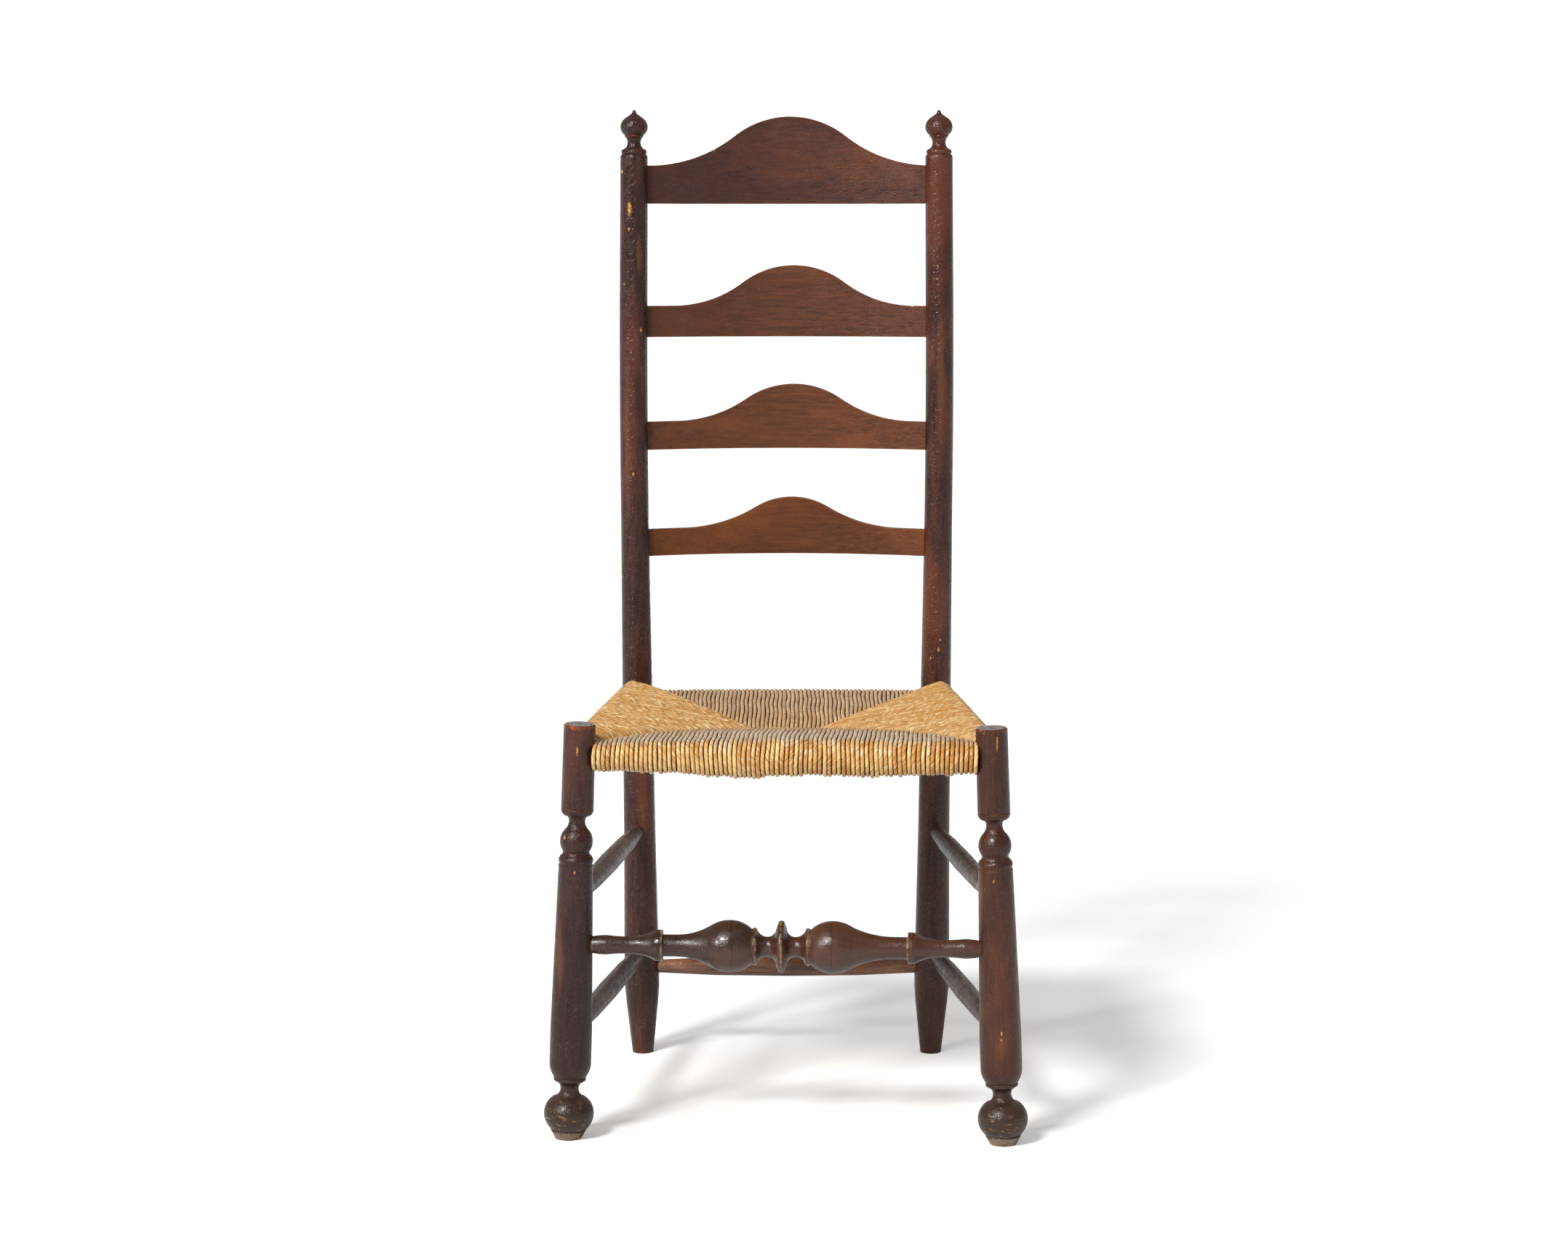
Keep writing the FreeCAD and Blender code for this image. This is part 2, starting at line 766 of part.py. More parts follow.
class Slat:
    """One slat: its sizes from the sheet and its seat between the posts."""

    def __init__(self, name):
        self.name = "slat_" + name
        self.end_height = getattr(size, f"{name}_slat_end")
        self.rise = getattr(size, f"{name}_slat_rise")
        self.shoulder = getattr(size, f"{name}_slat_shoulder")
        self.crown = getattr(size, f"{name}_slat_crown")
        self.shift = getattr(size, f"{name}_slat_shift")
        start = size.post_length - getattr(size, f"{name}_slat_drop")
        middle = start.value + self.end_height.value / 2
        self.seat = post.point(start.value)
        self.lean = post.lean(middle)
        self.half_span = layout.add(f"{self.name}_half_span", post.point(middle).x)
        chord = self.half_span * self.half_span + size.slat_bow * size.slat_bow
        self.radius = chord / (size.slat_bow * 2)
        post_face = size.post_top_radius
        self.half_length = self.half_span - post_face + size.slat_tenon

    def form(self, name, gap):
        """The slat, or its mortise when gap is added all round."""
        body = new_body(name)
        self.bend_plank(body, name, gap)
        self.saw_arch(body, name, gap)
        seat = Vector(0, self.seat.y, self.seat.z)
        tilt = Placement(seat, Rotation(Vector(1, 0, 0), -self.lean))
        to_centre = Vector(0, size.slat_bow.value - self.radius.value, -gap.value)
        body.Placement = tilt * Placement(to_centre, Rotation())
        return body

    def bend_plank(self, body, name, gap):
        """A bent plank as two concentric arcs about the body's origin."""
        sketch = sketch_on(body, "XY_Plane", name + "_plan")
        inner = self.radius - size.slat_thickness / 2 - gap
        outer = self.radius + size.slat_thickness / 2 + gap
        reach = self.half_length + gap
        corners = []
        for radius in (inner, outer):
            drop = math.sqrt(radius.value ** 2 - reach.value ** 2)
            corners.append((Vector(reach.value, drop, 0), Vector(-reach.value, drop, 0)))
        for radius, (right, left) in zip((inner, outer), corners):
            crest = Vector(0, radius.value, 0)
            sketch.addGeometry(Part.Arc(right, crest, left))
        sketch.addGeometry(Part.LineSegment(corners[0][0], corners[1][0]))
        sketch.addGeometry(Part.LineSegment(corners[0][1], corners[1][1]))
        ties = [
            (Sketcher.Constraint("Coincident", 0, 3, -1, 1), None),
            (Sketcher.Constraint("Coincident", 1, 3, -1, 1), None),
            (Sketcher.Constraint("Coincident", 0, 1, 2, 1), None),
            (Sketcher.Constraint("Coincident", 1, 1, 2, 2), None),
            (Sketcher.Constraint("Coincident", 0, 2, 3, 1), None),
            (Sketcher.Constraint("Coincident", 1, 2, 3, 2), None),
            (Sketcher.Constraint("Vertical", 2), None),
            (Sketcher.Constraint("Vertical", 3), None),
            (Sketcher.Constraint("Radius", 0, inner.value), inner),
            (Sketcher.Constraint("Radius", 1, outer.value), outer),
            (Sketcher.Constraint("DistanceX", 2, 1, reach.value), reach),
            (Sketcher.Constraint("DistanceX", 3, 1, -reach.value), -reach),
        ]
        tie_down(sketch, ties)
        plank = body.newObject("PartDesign::Pad", name + "_plank")
        plank.Profile = sketch
        plank.setExpression("Length", (self.end_height + self.rise + gap * 2).formula)

    def saw_arch(self, body, name, gap):
        """Saw away what lies above two level shoulders, two hollows and the crown."""
        sketch = sketch_on(body, "XZ_Plane", name + "_front")
        half_arch = self.half_span - self.shoulder
        reach = self.half_length + gap + size.slat_thickness
        end = self.end_height + gap * 2
        peak = end + self.rise
        crown = self.crown
        hollow = (half_arch * half_arch + self.rise * self.rise) / (self.rise * 2) - crown
        share = crown / (crown + hollow)
        turn_out = half_arch * share
        turn_up = peak - self.rise * share
        above = peak + size.slat_thickness
        middle = self.shift
        draw_outline(sketch, [
            (-reach, end, LINE),
            (middle - half_arch, end, LINE),
            (middle - turn_out, turn_up, LEVEL_START),
            (middle, peak, LEVEL_END),
            (middle + turn_out, turn_up, LEVEL_START),
            (middle + half_arch, end, LEVEL_END),
            (reach, end, LINE),
            (reach, above, LINE),
            (-reach, above, LINE),
        ])
        sawing = body.newObject("PartDesign::Pocket", name + "_sawing")
        sawing.Profile = sketch
        sawing.Type = "ThroughAll"
        sawing.SideType = "Symmetric"


slats = [Slat(name) for name in ("top", "upper", "lower", "bottom")]
slat_mortises = []
for slat in slats:
    keep(slat.name, slat.form(slat.name, Size(0)))
    slat_mortises.append(slat.form(slat.name + "_mortise", size.fit_gap))

# Front legs

def leg_points():
    """Half outline of a front leg; the upper group hangs from its top face."""
    top = size.leg_length
    groove_top = size.foot_base_height + size.ball_groove_width
    disc_top = size.disc_height + size.disc_thickness
    heel_start = disc_top + size.heel_groove_width
    shaft_top = top - size.shaft_top_drop
    ring_start = shaft_top + size.ring_groove_width
    line_half = size.block_line_depth
    line_height = top - size.block_line_drop
    return [
        (Size(0), -size.foot_trim, LINE),
        (size.foot_base_radius, -size.foot_trim, LINE),
        (size.foot_lip_radius, size.foot_base_height, LINE),
        (size.ball_groove_radius, size.foot_base_height + size.ball_groove_width / 2, LINE),
        (size.ball_bottom_radius, groove_top, LINE),
        (size.ball_radius, size.ball_height, UPRIGHT_END),
        (size.ball_top_radius, size.ball_top_height, UPRIGHT_START),
        (size.ankle_radius, size.ankle_height, UPRIGHT_END),
        (size.disc_underside_radius, size.disc_underside_height, UPRIGHT_START),
        (size.disc_radius, size.disc_height, LINE),
        (size.disc_radius, disc_top, LINE),
        (size.heel_groove_radius, disc_top + size.heel_groove_width / 2, LINE),
        (size.disc_radius, heel_start, LINE),
        (size.shaft_radius, size.heel_height, UPRIGHT_END),
        (size.shaft_radius, size.shaft_full_height, LINE),
        (size.shaft_top_radius, shaft_top, LINE),
        (size.ring_groove_radius, shaft_top + size.ring_groove_width / 2, LINE),
        (size.ring_groove_radius, ring_start, LINE),
        (size.ring_radius, top - size.ring_drop, UPRIGHT_END),
        (size.ring_top_radius, top - size.ring_top_drop, UPRIGHT_START),
        (size.waist_radius, top - size.waist_drop, UPRIGHT_END),
        (size.vase_radius, top - size.vase_drop, UPRIGHT_END),
        (size.vase_shoulder_radius, top - size.vase_shoulder_drop, UPRIGHT_START),
        (size.throat_radius, top - size.throat_drop, UPRIGHT_END),
        (size.throat_flare_radius, top - size.throat_flare_drop, UPRIGHT_START),
        (size.block_bottom_radius, top - size.block_bottom_drop, UPRIGHT_END),
        (size.block_bottom_radius, line_height - line_half, LINE),
        (size.block_bottom_radius - size.block_line_depth, line_height, LINE),
        (size.block_bottom_radius, line_height + line_half, LINE),
        (size.block_top_radius, top - size.block_edge_round, LINE),
        (size.block_top_radius - size.block_edge_round, top, LINE),
        (Size(0), top, LINE),
    ]


def floor_waste(name, centre):
    """What lies below the floor under one foot."""
    waste = document.addObject("Part::Box", name)
    for edge in ("Length", "Width"):
        waste.setExpression(edge, size.floor_block_width.formula)
    waste.setExpression("Height", size.floor_block_depth.formula)
    half = size.floor_block_width.value / 2
    waste.Placement.Base = Vector(centre.x - half, centre.y - half, -size.floor_block_depth.value)
    return waste


leg_bores = {LEFT: [], RIGHT: []}
post_bores = {LEFT: [], RIGHT: []}
for cross in (front_stretcher, rails["front"]):
    leg_bores[LEFT].append(cross.bore(False, "leg"))
    leg_bores[RIGHT].append(cross.bore(True, "leg"))
for cross in (rear_stretcher, rails["rear"]):
    post_bores[LEFT].append(cross.bore(False, "post"))
    post_bores[RIGHT].append(cross.bore(True, "post"))
for side in (LEFT, RIGHT):
    for cross in (rungs["upper", side], rungs["lower", side], rails[SIDE_NAMES[side]]):
        leg_bores[side].append(cross.bore(False, "leg"))
        post_bores[side].append(cross.bore(True, "post"))

for side in (LEFT, RIGHT):
    name = "front_leg_" + SIDE_NAMES[side]
    foot = front_leg_point(side, 0)
    whole = turned_body(name + "_whole", leg_points(), along(foot, front_leg_point(side, 1)))
    floor = floor_waste(name + "_floor", foot)
    keep(name, cut(name, whole, leg_bores[side] + [floor]))


# Rear posts: turned below, bent in the middle, with a turned finial

def post_lower_points():
    return [
        (Size(0), -size.foot_trim, LINE),
        (size.post_foot_radius, -size.foot_trim, LINE),
        (size.post_taper_radius, size.post_taper_height, LINE),
        (size.post_calf_radius, size.post_calf_height, LINE),
        (size.post_heel_radius, size.post_heel_height, LINE),
        (size.post_shin_radius, size.post_shin_height, LINE),
        (size.post_seat_radius, Size(rear_rail_height), LINE),
        (size.post_bend_radius, size.post_bend_start, LINE),
        (Size(0), size.post_bend_start, LINE),
    ]


def post_upper_points():
    """Half outline of the post above its bend, from the bend's end as zero."""
    notch = size.post_length - size.finial_length - size.post_bend_start - size.post_bend_length
    collar_top = notch + size.collar_height + size.collar_thickness
    tip = notch + size.finial_length
    return [
        (Size(0), Size(0), LINE),
        (size.post_bend_radius, Size(0), LINE),
        (size.post_top_radius, notch - size.shoulder_length, LINE),
        (size.shoulder_radius, notch - size.shoulder_edge, UPRIGHT_START),
        (size.notch_radius, notch, LINE),
        (size.bead_radius, notch + size.bead_height, UPRIGHT_END),
        (size.bead_top_radius, notch + size.bead_top_height, UPRIGHT_START),
        (size.neck_radius, notch + size.neck_height, UPRIGHT_END),
        (size.neck_flare_radius, notch + size.neck_flare_height, UPRIGHT_START),
        (size.collar_radius, notch + size.collar_height, LINE),
        (size.collar_radius, collar_top, LINE),
        (size.urn_radius, notch + size.urn_height, UPRIGHT_END),
        (size.urn_shoulder_radius, notch + size.urn_shoulder_height, UPRIGHT_START),
        (size.tip_root_radius, notch + size.tip_root_height, LINE),
        (size.tip_radius, tip - size.tip_length, UPRIGHT_END),
        (size.tip_radius / 2, tip, LINE),
        (Size(0), tip, LINE),
    ]


def bend_profile(body, name):
    """The round section at the start of the bend, with the axis that it is swung about."""
    start = Placement(Vector(0, 0, post.bend_start), Rotation())
    sketch = sketch_on(body, "XY_Plane", name, start)
    radius = size.post_bend_radius
    reach = layout.add(name + "_reach", post.bend_radius)
    circle = sketch.addGeometry(Part.Circle(Vector(0, 0, 0), Vector(0, 0, 1), radius.value))
    near, far = Vector(-radius.value, reach.value, 0), Vector(radius.value, reach.value, 0)
    axis = sketch.addGeometry(Part.LineSegment(near, far), True)
    ties = [
        (Sketcher.Constraint("Coincident", circle, 3, -1, 1), None),
        (Sketcher.Constraint("Radius", circle, radius.value), radius),
        (Sketcher.Constraint("Horizontal", axis), None),
        (Sketcher.Constraint("DistanceX", axis, 1, -radius.value), -radius),
        (Sketcher.Constraint("DistanceX", axis, 2, radius.value), radius),
        (Sketcher.Constraint("DistanceY", axis, 1, reach.value), reach),
    ]
    tie_down(sketch, ties)
    return sketch


def post_body(name, side):
    """The whole post, upright along its own z axis below and bending towards its y axis."""
    body = new_body(name)
    lower = sketch_on(body, "XZ_Plane", name + "_lower_outline")
    draw_outline(lower, post_lower_points())
    revolve(body, lower, name + "_lower_turning")
    section = bend_profile(body, name + "_bend_section")
    bend = body.newObject("PartDesign::Revolution", name + "_bend")
    bend.Profile = section
    bend.ReferenceAxis = (section, ["Axis0"])
    bend.Angle = math.degrees(post.bend_angle)
    bend.Reversed = True
    end_forward = post.bend_start + post.bend_radius * math.sin(post.bend_angle)
    end_aside = post.bend_radius * (1 - math.cos(post.bend_angle))
    turn = Rotation(Vector(0, 0, 1), math.degrees(-post.bend_angle))
    offset = Placement(Vector(end_aside, end_forward, 0), turn)
    upper = sketch_on(body, "YZ_Plane", name + "_upper_outline", offset)
    draw_outline(upper, post_upper_points())
    revolve(body, upper, name + "_upper_turning")
    normal = mirrored(post.bend_normal, side)
    axis = mirrored(post.lower, side)
    turn = Rotation(Vector(0, 0, 0), normal, axis, "ZYX")
    body.Placement = Placement(mirrored(post.foot, side), turn)
    return body


for side in (LEFT, RIGHT):
    name = "rear_post_" + SIDE_NAMES[side]
    whole = post_body(name + "_whole", side)
    floor = floor_waste(name + "_floor", mirrored(post.foot, side))
    keep(name, cut(name, whole, post_bores[side] + slat_mortises + [floor]))


# Rush seat: four wedge-shaped panels woven over the rails, meeting on mitred seams

front_corner_x = layout.add("front_corner_x", front_leg_point(RIGHT, front_rail_height).x)
rear_corner_x = layout.add("rear_corner_x", post_point(RIGHT, rear_rail_height).x)
front_middle_y = layout.add("front_middle_y", front_y)
rear_corner_y = front_middle_y + size.seat_depth
seam_y = front_middle_y + size.seam_depth
corners = {
    "front_left": (-front_corner_x, front_middle_y + size.left_leg_setback / 2),
    "front_right": (front_corner_x, front_middle_y - size.left_leg_setback / 2),
    "rear_left": (-rear_corner_x, rear_corner_y),
    "rear_right": (rear_corner_x, rear_corner_y),
}
seams = {LEFT: (-size.seam_half_length, seam_y), RIGHT: (size.seam_half_length, seam_y)}


def beyond(seam, corner):
    """A point past a corner on the line of its mitred seam."""
    return tuple(near + (far - near) * PLAN_OVERRUN for near, far in zip(seam, corner))


class Panel:
    """One woven panel: the rail it wraps, its plan outline and its rounded section."""

    def __init__(self, name, first, last, plan, height, end_gaps):
        self.name = name
        start = Vector(first[0].value, first[1].value, height.value)
        end = Vector(last[0].value, last[1].value, height.value)
        self.direction = (end - start).normalize()
        self.start = start + self.direction * (end_gaps[0] - size.roll_end_inset.value)
        self.end = end - self.direction * (end_gaps[1] - size.roll_end_inset.value)
        self.plan = plan
        seam = plan[-1]
        inward = Vector(0, 0, 1).cross(self.direction)
        tip = Vector(seam[0].value, seam[1].value, height.value)
        self.reach = layout.add(name + "_panel_reach", (tip - start).dot(inward))
        kind = name if name in ("front", "rear") else "side"
        self.crest = getattr(size, kind + "_roll_crest")
        self.end_crest = getattr(size, kind + "_roll_end_crest")
        self.bottom = getattr(size, kind + "_roll_bottom")
        self.end_bottom = getattr(size, kind + "_roll_end_bottom")
        self.overhang = getattr(size, kind + "_roll_overhang")
        self.end_overhang = getattr(size, kind + "_roll_end_overhang")
        self.middle_top = Size(front_rail_height - size.seat_dip.value - height.value)
        self.middle_bottom = self.middle_top - size.seat_middle_thickness

    def across(self, point):
        """A placement at a point of the rail: x inwards, y up, z along the rail."""
        inward = Vector(0, 0, 1).cross(self.direction)
        return Placement(point, Rotation(inward, Vector(0, 0, 1), self.direction, "ZXY"))

    def section(self, label, point, crest, bottom, overhang):
        return loose_sketch(f"{self.name}_roll_{label}", self.across(point), [
            (self.reach, self.middle_bottom, LINE),
            (Size(0), -bottom, LINE),
            (-overhang, Size(0), UPRIGHT_END),
            (Size(0), crest, UPRIGHT_START),
            (self.reach, self.middle_top, LEVEL_START),
        ])

    def wedge(self, label, inset):
        """An upright block over the plan outline of the panel, drawn in by an inset."""
        name = f"{self.name}_{label}"
        outline = loose_sketch(name + "_plan", Placement(), [(x, y, LINE) for x, y in self.plan])
        if inset is not None:
            drawn_in = document.addObject("Part::Offset2D", name + "_inset")
            drawn_in.Source = outline
            drawn_in.setExpression("Value", (-inset).formula)
            outline = drawn_in
        block = document.addObject("Part::Extrusion", name)
        block.Base = outline
        block.Dir = Vector(0, 0, 1)
        block.Solid = True
        block.setExpression("LengthFwd", (size.leg_length * 2).formula)
        return block

    def form(self):
        """The rolled panel, crowned along its rail and trimmed to its mitred plan."""
        sections = []
        for number in range(5):
            share = number / 4
            crown = 1 - (2 * share - 1) ** 2
            sections.append(self.section(
                number,
                self.start + (self.end - self.start) * share,
                self.end_crest + (self.crest - self.end_crest) * crown,
                self.end_bottom + (self.bottom - self.end_bottom) * crown,
                self.end_overhang + (self.overhang - self.end_overhang) * crown,
            ))
        roll = document.addObject("Part::Loft", self.name + "_roll")
        roll.Sections = sections
        roll.Solid = True
        roll.Ruled = True
        return joined("Part::MultiCommon", self.name + "_panel", [roll, self.wedge("wedge", None)])

    def stuffing(self, name, gap):
        """The flat pad between the layers, or its pocket when gap is added all round."""
        first = size.stuffing_start
        last = self.reach - size.stuffing_margin * 2
        middle = (self.middle_top + self.middle_bottom) / 2
        first_top = self.end_crest - size.stuffing_layer
        first_bottom = size.stuffing_layer - self.end_bottom
        first_middle = (first_top + first_bottom) / 2
        last_middle = first_middle + (middle - first_middle) * (last - first) / (self.reach - first)
        half = size.stuffing_end_height / 2 + gap
        outline = loose_sketch(name + "_section", self.across(self.start), [
            (first - gap, first_bottom - gap, LINE),
            (last + gap, last_middle - half, LINE),
            (last + gap, last_middle + half, LINE),
            (first - gap, first_top + gap, LINE),
        ])
        strip = document.addObject("Part::Extrusion", name + "_strip")
        strip.Base = outline
        strip.Dir = self.direction
        strip.Solid = True
        strip.LengthFwd = (self.end - self.start).Length
        wedge = self.wedge(name, size.stuffing_margin - gap)
        return joined("Part::MultiCommon", name, [strip, wedge])


def panel_plan(names, seam_ends):
    """The plan of a panel: its outer corners, drawn past the rails, then its seam ends."""
    outer = [beyond(seam, corners[name]) for name, seam in zip(names, seam_ends)]
    inner = list(dict.fromkeys(reversed(seam_ends)))
    return outer + inner


front_height = Size(front_rail_height)
rear_height = Size(rear_rail_height)
side_height = Size(side_front_height)
panels = [
    Panel("front", corners["front_left"], corners["front_right"],
          panel_plan(("front_left", "front_right"), (seams[LEFT], seams[RIGHT])),
          front_height, (leg_depth, leg_depth)),
    Panel("right", corners["front_right"], corners["rear_right"],
          panel_plan(("front_right", "rear_right"), (seams[RIGHT], seams[RIGHT])),
          side_height, (leg_depth, post_depth)),
    Panel("rear", corners["rear_right"], corners["rear_left"],
          panel_plan(("rear_right", "rear_left"), (seams[RIGHT], seams[LEFT])),
          rear_height, (post_depth, post_depth)),
    Panel("left", corners["rear_left"], corners["front_left"],
          panel_plan(("rear_left", "front_left"), (seams[LEFT], seams[LEFT])),
          side_height, (post_depth, leg_depth)),
]
woven = joined("Part::MultiFuse", "rush_panels", [panel.form() for panel in panels])
pockets = []
for panel in panels:
    pad_name = "stuffing_" + panel.name
    keep(pad_name, panel.stuffing(pad_name, Size(0)))
    pockets.append(panel.stuffing(pad_name + "_pocket", size.rush_gap))


def upright_clearance(name, low, high, radius):
    """Room in the rush for a leg or post standing through its corner."""
    room = document.addObject("Part::Cylinder", name)
    room.setExpression("Radius", (radius + size.rush_gap).formula)
    room.Height = (high - low).Length
    room.Placement = along(low, high)
    return room


rooms = []
for side in (LEFT, RIGHT):
    below = front_rail_height / 2
    above = size.leg_length.value * 2
    leg_foot, leg_head = front_leg_point(side, below), front_leg_point(side, above)
    post_foot, post_head = post_point(side, below), post_point(side, above)
    name = "room_for_" + SIDE_NAMES[side]
    rooms.append(upright_clearance(name + "_leg", leg_foot, leg_head, size.block_bottom_radius))
    rooms.append(upright_clearance(name + "_post", post_foot, post_head, size.post_seat_radius))
channels = [
    rail_form(rail, f"channel_of_{name}_rail", size.rush_gap) for name, rail in rails.items()
]
keep("rush_seat", cut("rush_seat", woven, channels + rooms + pockets))


# Check everything and write one file for each piece

document.recompute()
for feature in document.Objects:
    if "Invalid" in feature.State or "Error" in feature.State:
        raise RuntimeError(f"{feature.Label} did not build: {feature.State}")
os.makedirs("parts", exist_ok=True)
for node, piece in pieces.items():
    shape = piece.Shape
    if shape.isNull() or not shape.isValid() or len(shape.Solids) != 1:
        raise RuntimeError(f"{node} is not one valid solid")
    shape.exportStep(f"parts/{node}.step")
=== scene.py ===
"""Looks of a four-slat ladderback chair: stained turned maple, bowed slats and a woven rush seat."""

import logging
import math
import random
from dataclasses import dataclass, field
from enum import Enum

import bmesh
import bpy
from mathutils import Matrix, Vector


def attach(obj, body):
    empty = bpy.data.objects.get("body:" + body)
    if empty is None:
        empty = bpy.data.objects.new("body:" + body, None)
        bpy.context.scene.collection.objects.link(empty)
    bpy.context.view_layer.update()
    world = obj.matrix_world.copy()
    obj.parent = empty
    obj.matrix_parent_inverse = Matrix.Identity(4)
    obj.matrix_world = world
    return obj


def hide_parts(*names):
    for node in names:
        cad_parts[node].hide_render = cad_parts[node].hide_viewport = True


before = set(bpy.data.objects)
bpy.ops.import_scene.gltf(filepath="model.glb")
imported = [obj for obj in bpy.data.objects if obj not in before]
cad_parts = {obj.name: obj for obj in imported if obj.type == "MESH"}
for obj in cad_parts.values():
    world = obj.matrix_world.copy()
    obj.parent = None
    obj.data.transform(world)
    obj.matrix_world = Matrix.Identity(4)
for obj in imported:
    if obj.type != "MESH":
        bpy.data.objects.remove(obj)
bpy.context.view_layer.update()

LOG = logging.getLogger("chair")
UP = Vector((0, 0, 1))
SAME_PLACE = 1e-6  # metres

Socket = bpy.types.NodeSocket


def linear(hex_colour: str) -> tuple[float, float, float, float]:
    """Turn an sRGB hex colour into linear values.

    Args:
        hex_colour: Six hex digits after a hash sign.

    Returns:
        Red, green, blue and alpha, linear.
    """
    values = [int(hex_colour[i:i + 2], 16) / 255 for i in (1, 3, 5)]
    red, green, blue = (v / 12.92 if v <= 0.04045 else ((v + 0.055) / 1.055) ** 2.4 for v in values)
    return red, green, blue, 1.0


def add_node(
    tree: bpy.types.NodeTree,
    kind: str,
    settings: dict[str, object] | None = None,
    inputs: dict[str | int, object] | None = None,
) -> bpy.types.Node:
    """Add one shader node with its settings, and its inputs as numbers or links.

    Args:
        tree: The node tree that gets the node.
        kind: The node's type, such as ShaderNodeMix.
        settings: Properties of the node itself.
        inputs: Values or output sockets, by the name or number of the input.

    Returns:
        The new node.
    """
    node = tree.nodes.new(kind)
    for name, value in (settings or {}).items():
        setattr(node, name, value)
    for key, value in (inputs or {}).items():
        socket = node.inputs[key]
        if isinstance(value, Socket):
            tree.links.new(value, socket)
        else:
            socket.default_value = value
    return node


@dataclass(frozen=True)
class Mottle:
    """A cloudy pattern: features per metre, and the noise values where it begins and is full."""

    per_metre: float
    low: float
    high: float
    detail: float = 3.0
    roughness: float = 0.6
    distortion: float = 0.0


class Material:
    """A material under construction, with its object coordinates at hand."""

    def __init__(self, name: str) -> None:
        """Make the empty node tree and the coordinates node.

        Args:
            name: The material's name.
        """
        self.material = bpy.data.materials.new(name)
        self.material.use_nodes = True
        self.tree = self.material.node_tree
        self.tree.nodes.clear()
        self.place = self.add("ShaderNodeTexCoord", output="Object")

    def add(
        self,
        kind: str,
        settings: dict[str, object] | None = None,
        inputs: dict[str | int, object] | None = None,
        output: str | int = 0,
    ) -> Socket:
        """Add one node to this material, as add_node does, and return one of its outputs."""
        return add_node(self.tree, kind, settings, inputs).outputs[output]

    def facing(self, axis: str) -> Socket:
        """Return one part of the surface's own normal: X, Y or Z."""
        normal = self.add("ShaderNodeNewGeometry", output="True Normal")
        return self.add("ShaderNodeSeparateXYZ", {}, {0: normal}, axis)

    def in_turn(self, operation: str, values: tuple[object, ...]) -> Socket:
        """Return values added or multiplied one after another.

        Args:
            operation: ADD or MULTIPLY.
            values: Numbers or sockets.

        Returns:
            The result.
        """
        result, *rest = values
        for value in rest:
            result = self.add("ShaderNodeMath", {"operation": operation}, {0: result, 1: value})
        return result

    def total(self, *values: object) -> Socket:
        """Return the sum of two or more values."""
        return self.in_turn("ADD", values)

    def times(self, *values: object) -> Socket:
        """Return the product of two or more values."""
        return self.in_turn("MULTIPLY", values)

    def mask(self, value: object, edges: tuple[float, float], *shares: object) -> Socket:
        """Return where a value is past its edges, with a soft step between, thinned by shares.

        Args:
            value: A number or a socket.
            edges: The values at which the mask is 0 and 1; the first may be the larger.
            shares: Numbers or sockets that the mask is multiplied by.

        Returns:
            The mask.
        """
        empty, full = edges
        inputs = {"Value": value, "From Min": empty, "From Max": full}
        if empty > full:
            inputs = {"Value": value, "From Min": full, "From Max": empty, "To Min": 1.0, "To Max": 0.0}
        step = self.add("ShaderNodeMapRange", {"interpolation_type": "SMOOTHSTEP"}, inputs)
        return self.times(step, *shares)

    def mottled(self, mottle: Mottle, vector: Socket | None = None) -> Socket:
        """Return a cloudy mask, read at the object coordinates unless a vector is given.

        Args:
            mottle: The pattern.
            vector: Where the pattern is read.

        Returns:
            1 where the pattern is full.
        """
        clouds = self.add("ShaderNodeTexNoise", {}, {
            "Vector": self.place if vector is None else vector,
            "Scale": mottle.per_metre,
            "Detail": mottle.detail,
            "Roughness": mottle.roughness,
            "Distortion": mottle.distortion,
        })
        return self.mask(clouds, (mottle.low, mottle.high))

    def layered(self, ground: object, *layers: tuple[object, object]) -> Socket:
        """Return a colour with others laid over it in turn.

        Args:
            ground: The lowest colour, as a hex colour or a socket.
            layers: The mask and the colour of each layer, from the lowest up.

        Returns:
            The colour that shows.
        """
        colour = ground
        for mask, paint in layers:
            under, over = (linear(c) if isinstance(c, str) else c for c in (colour, paint))
            settings = {"data_type": "RGBA", "clamp_factor": True}
            # Of the sockets that mix colours, 6 and 7 are the inputs and 2 is the output.
            colour = self.add("ShaderNodeMix", settings, {0: mask, 6: under, 7: over}, 2)
        return colour

    def finish(self, shader: dict[str | int, object]) -> bpy.types.Material:
        """Add the principled shader and the output.

        Args:
            shader: The shader's inputs, as numbers or links.

        Returns:
            The finished material.
        """
        surface = self.add("ShaderNodeBsdfPrincipled", {}, shader)
        add_node(self.tree, "ShaderNodeOutputMaterial", {}, {"Surface": surface})
        return self.material


class Grain(Enum):
    """The axis of the chair that a piece's wood grain follows."""

    SIDEWAYS = 0
    FRONT_TO_BACK = 1
    UPRIGHT = 2

    def stretched(self, m: Material, along: float) -> Socket:
        """Return object coordinates with a pattern's features drawn out along the grain.

        Args:
            m: The material.
            along: The scale along the grain, where it is 1 across.

        Returns:
            The coordinates.
        """
        scale = [along if axis == self.value else 1.0 for axis in range(3)]
        return m.add("ShaderNodeMapping", {}, {"Vector": m.place, "Scale": scale})


@dataclass(frozen=True)
class Chip:
    """A place on the front of a piece where the stain is knocked off or thin, in metres."""

    x: float
    z: float
    half_width: float
    half_height: float


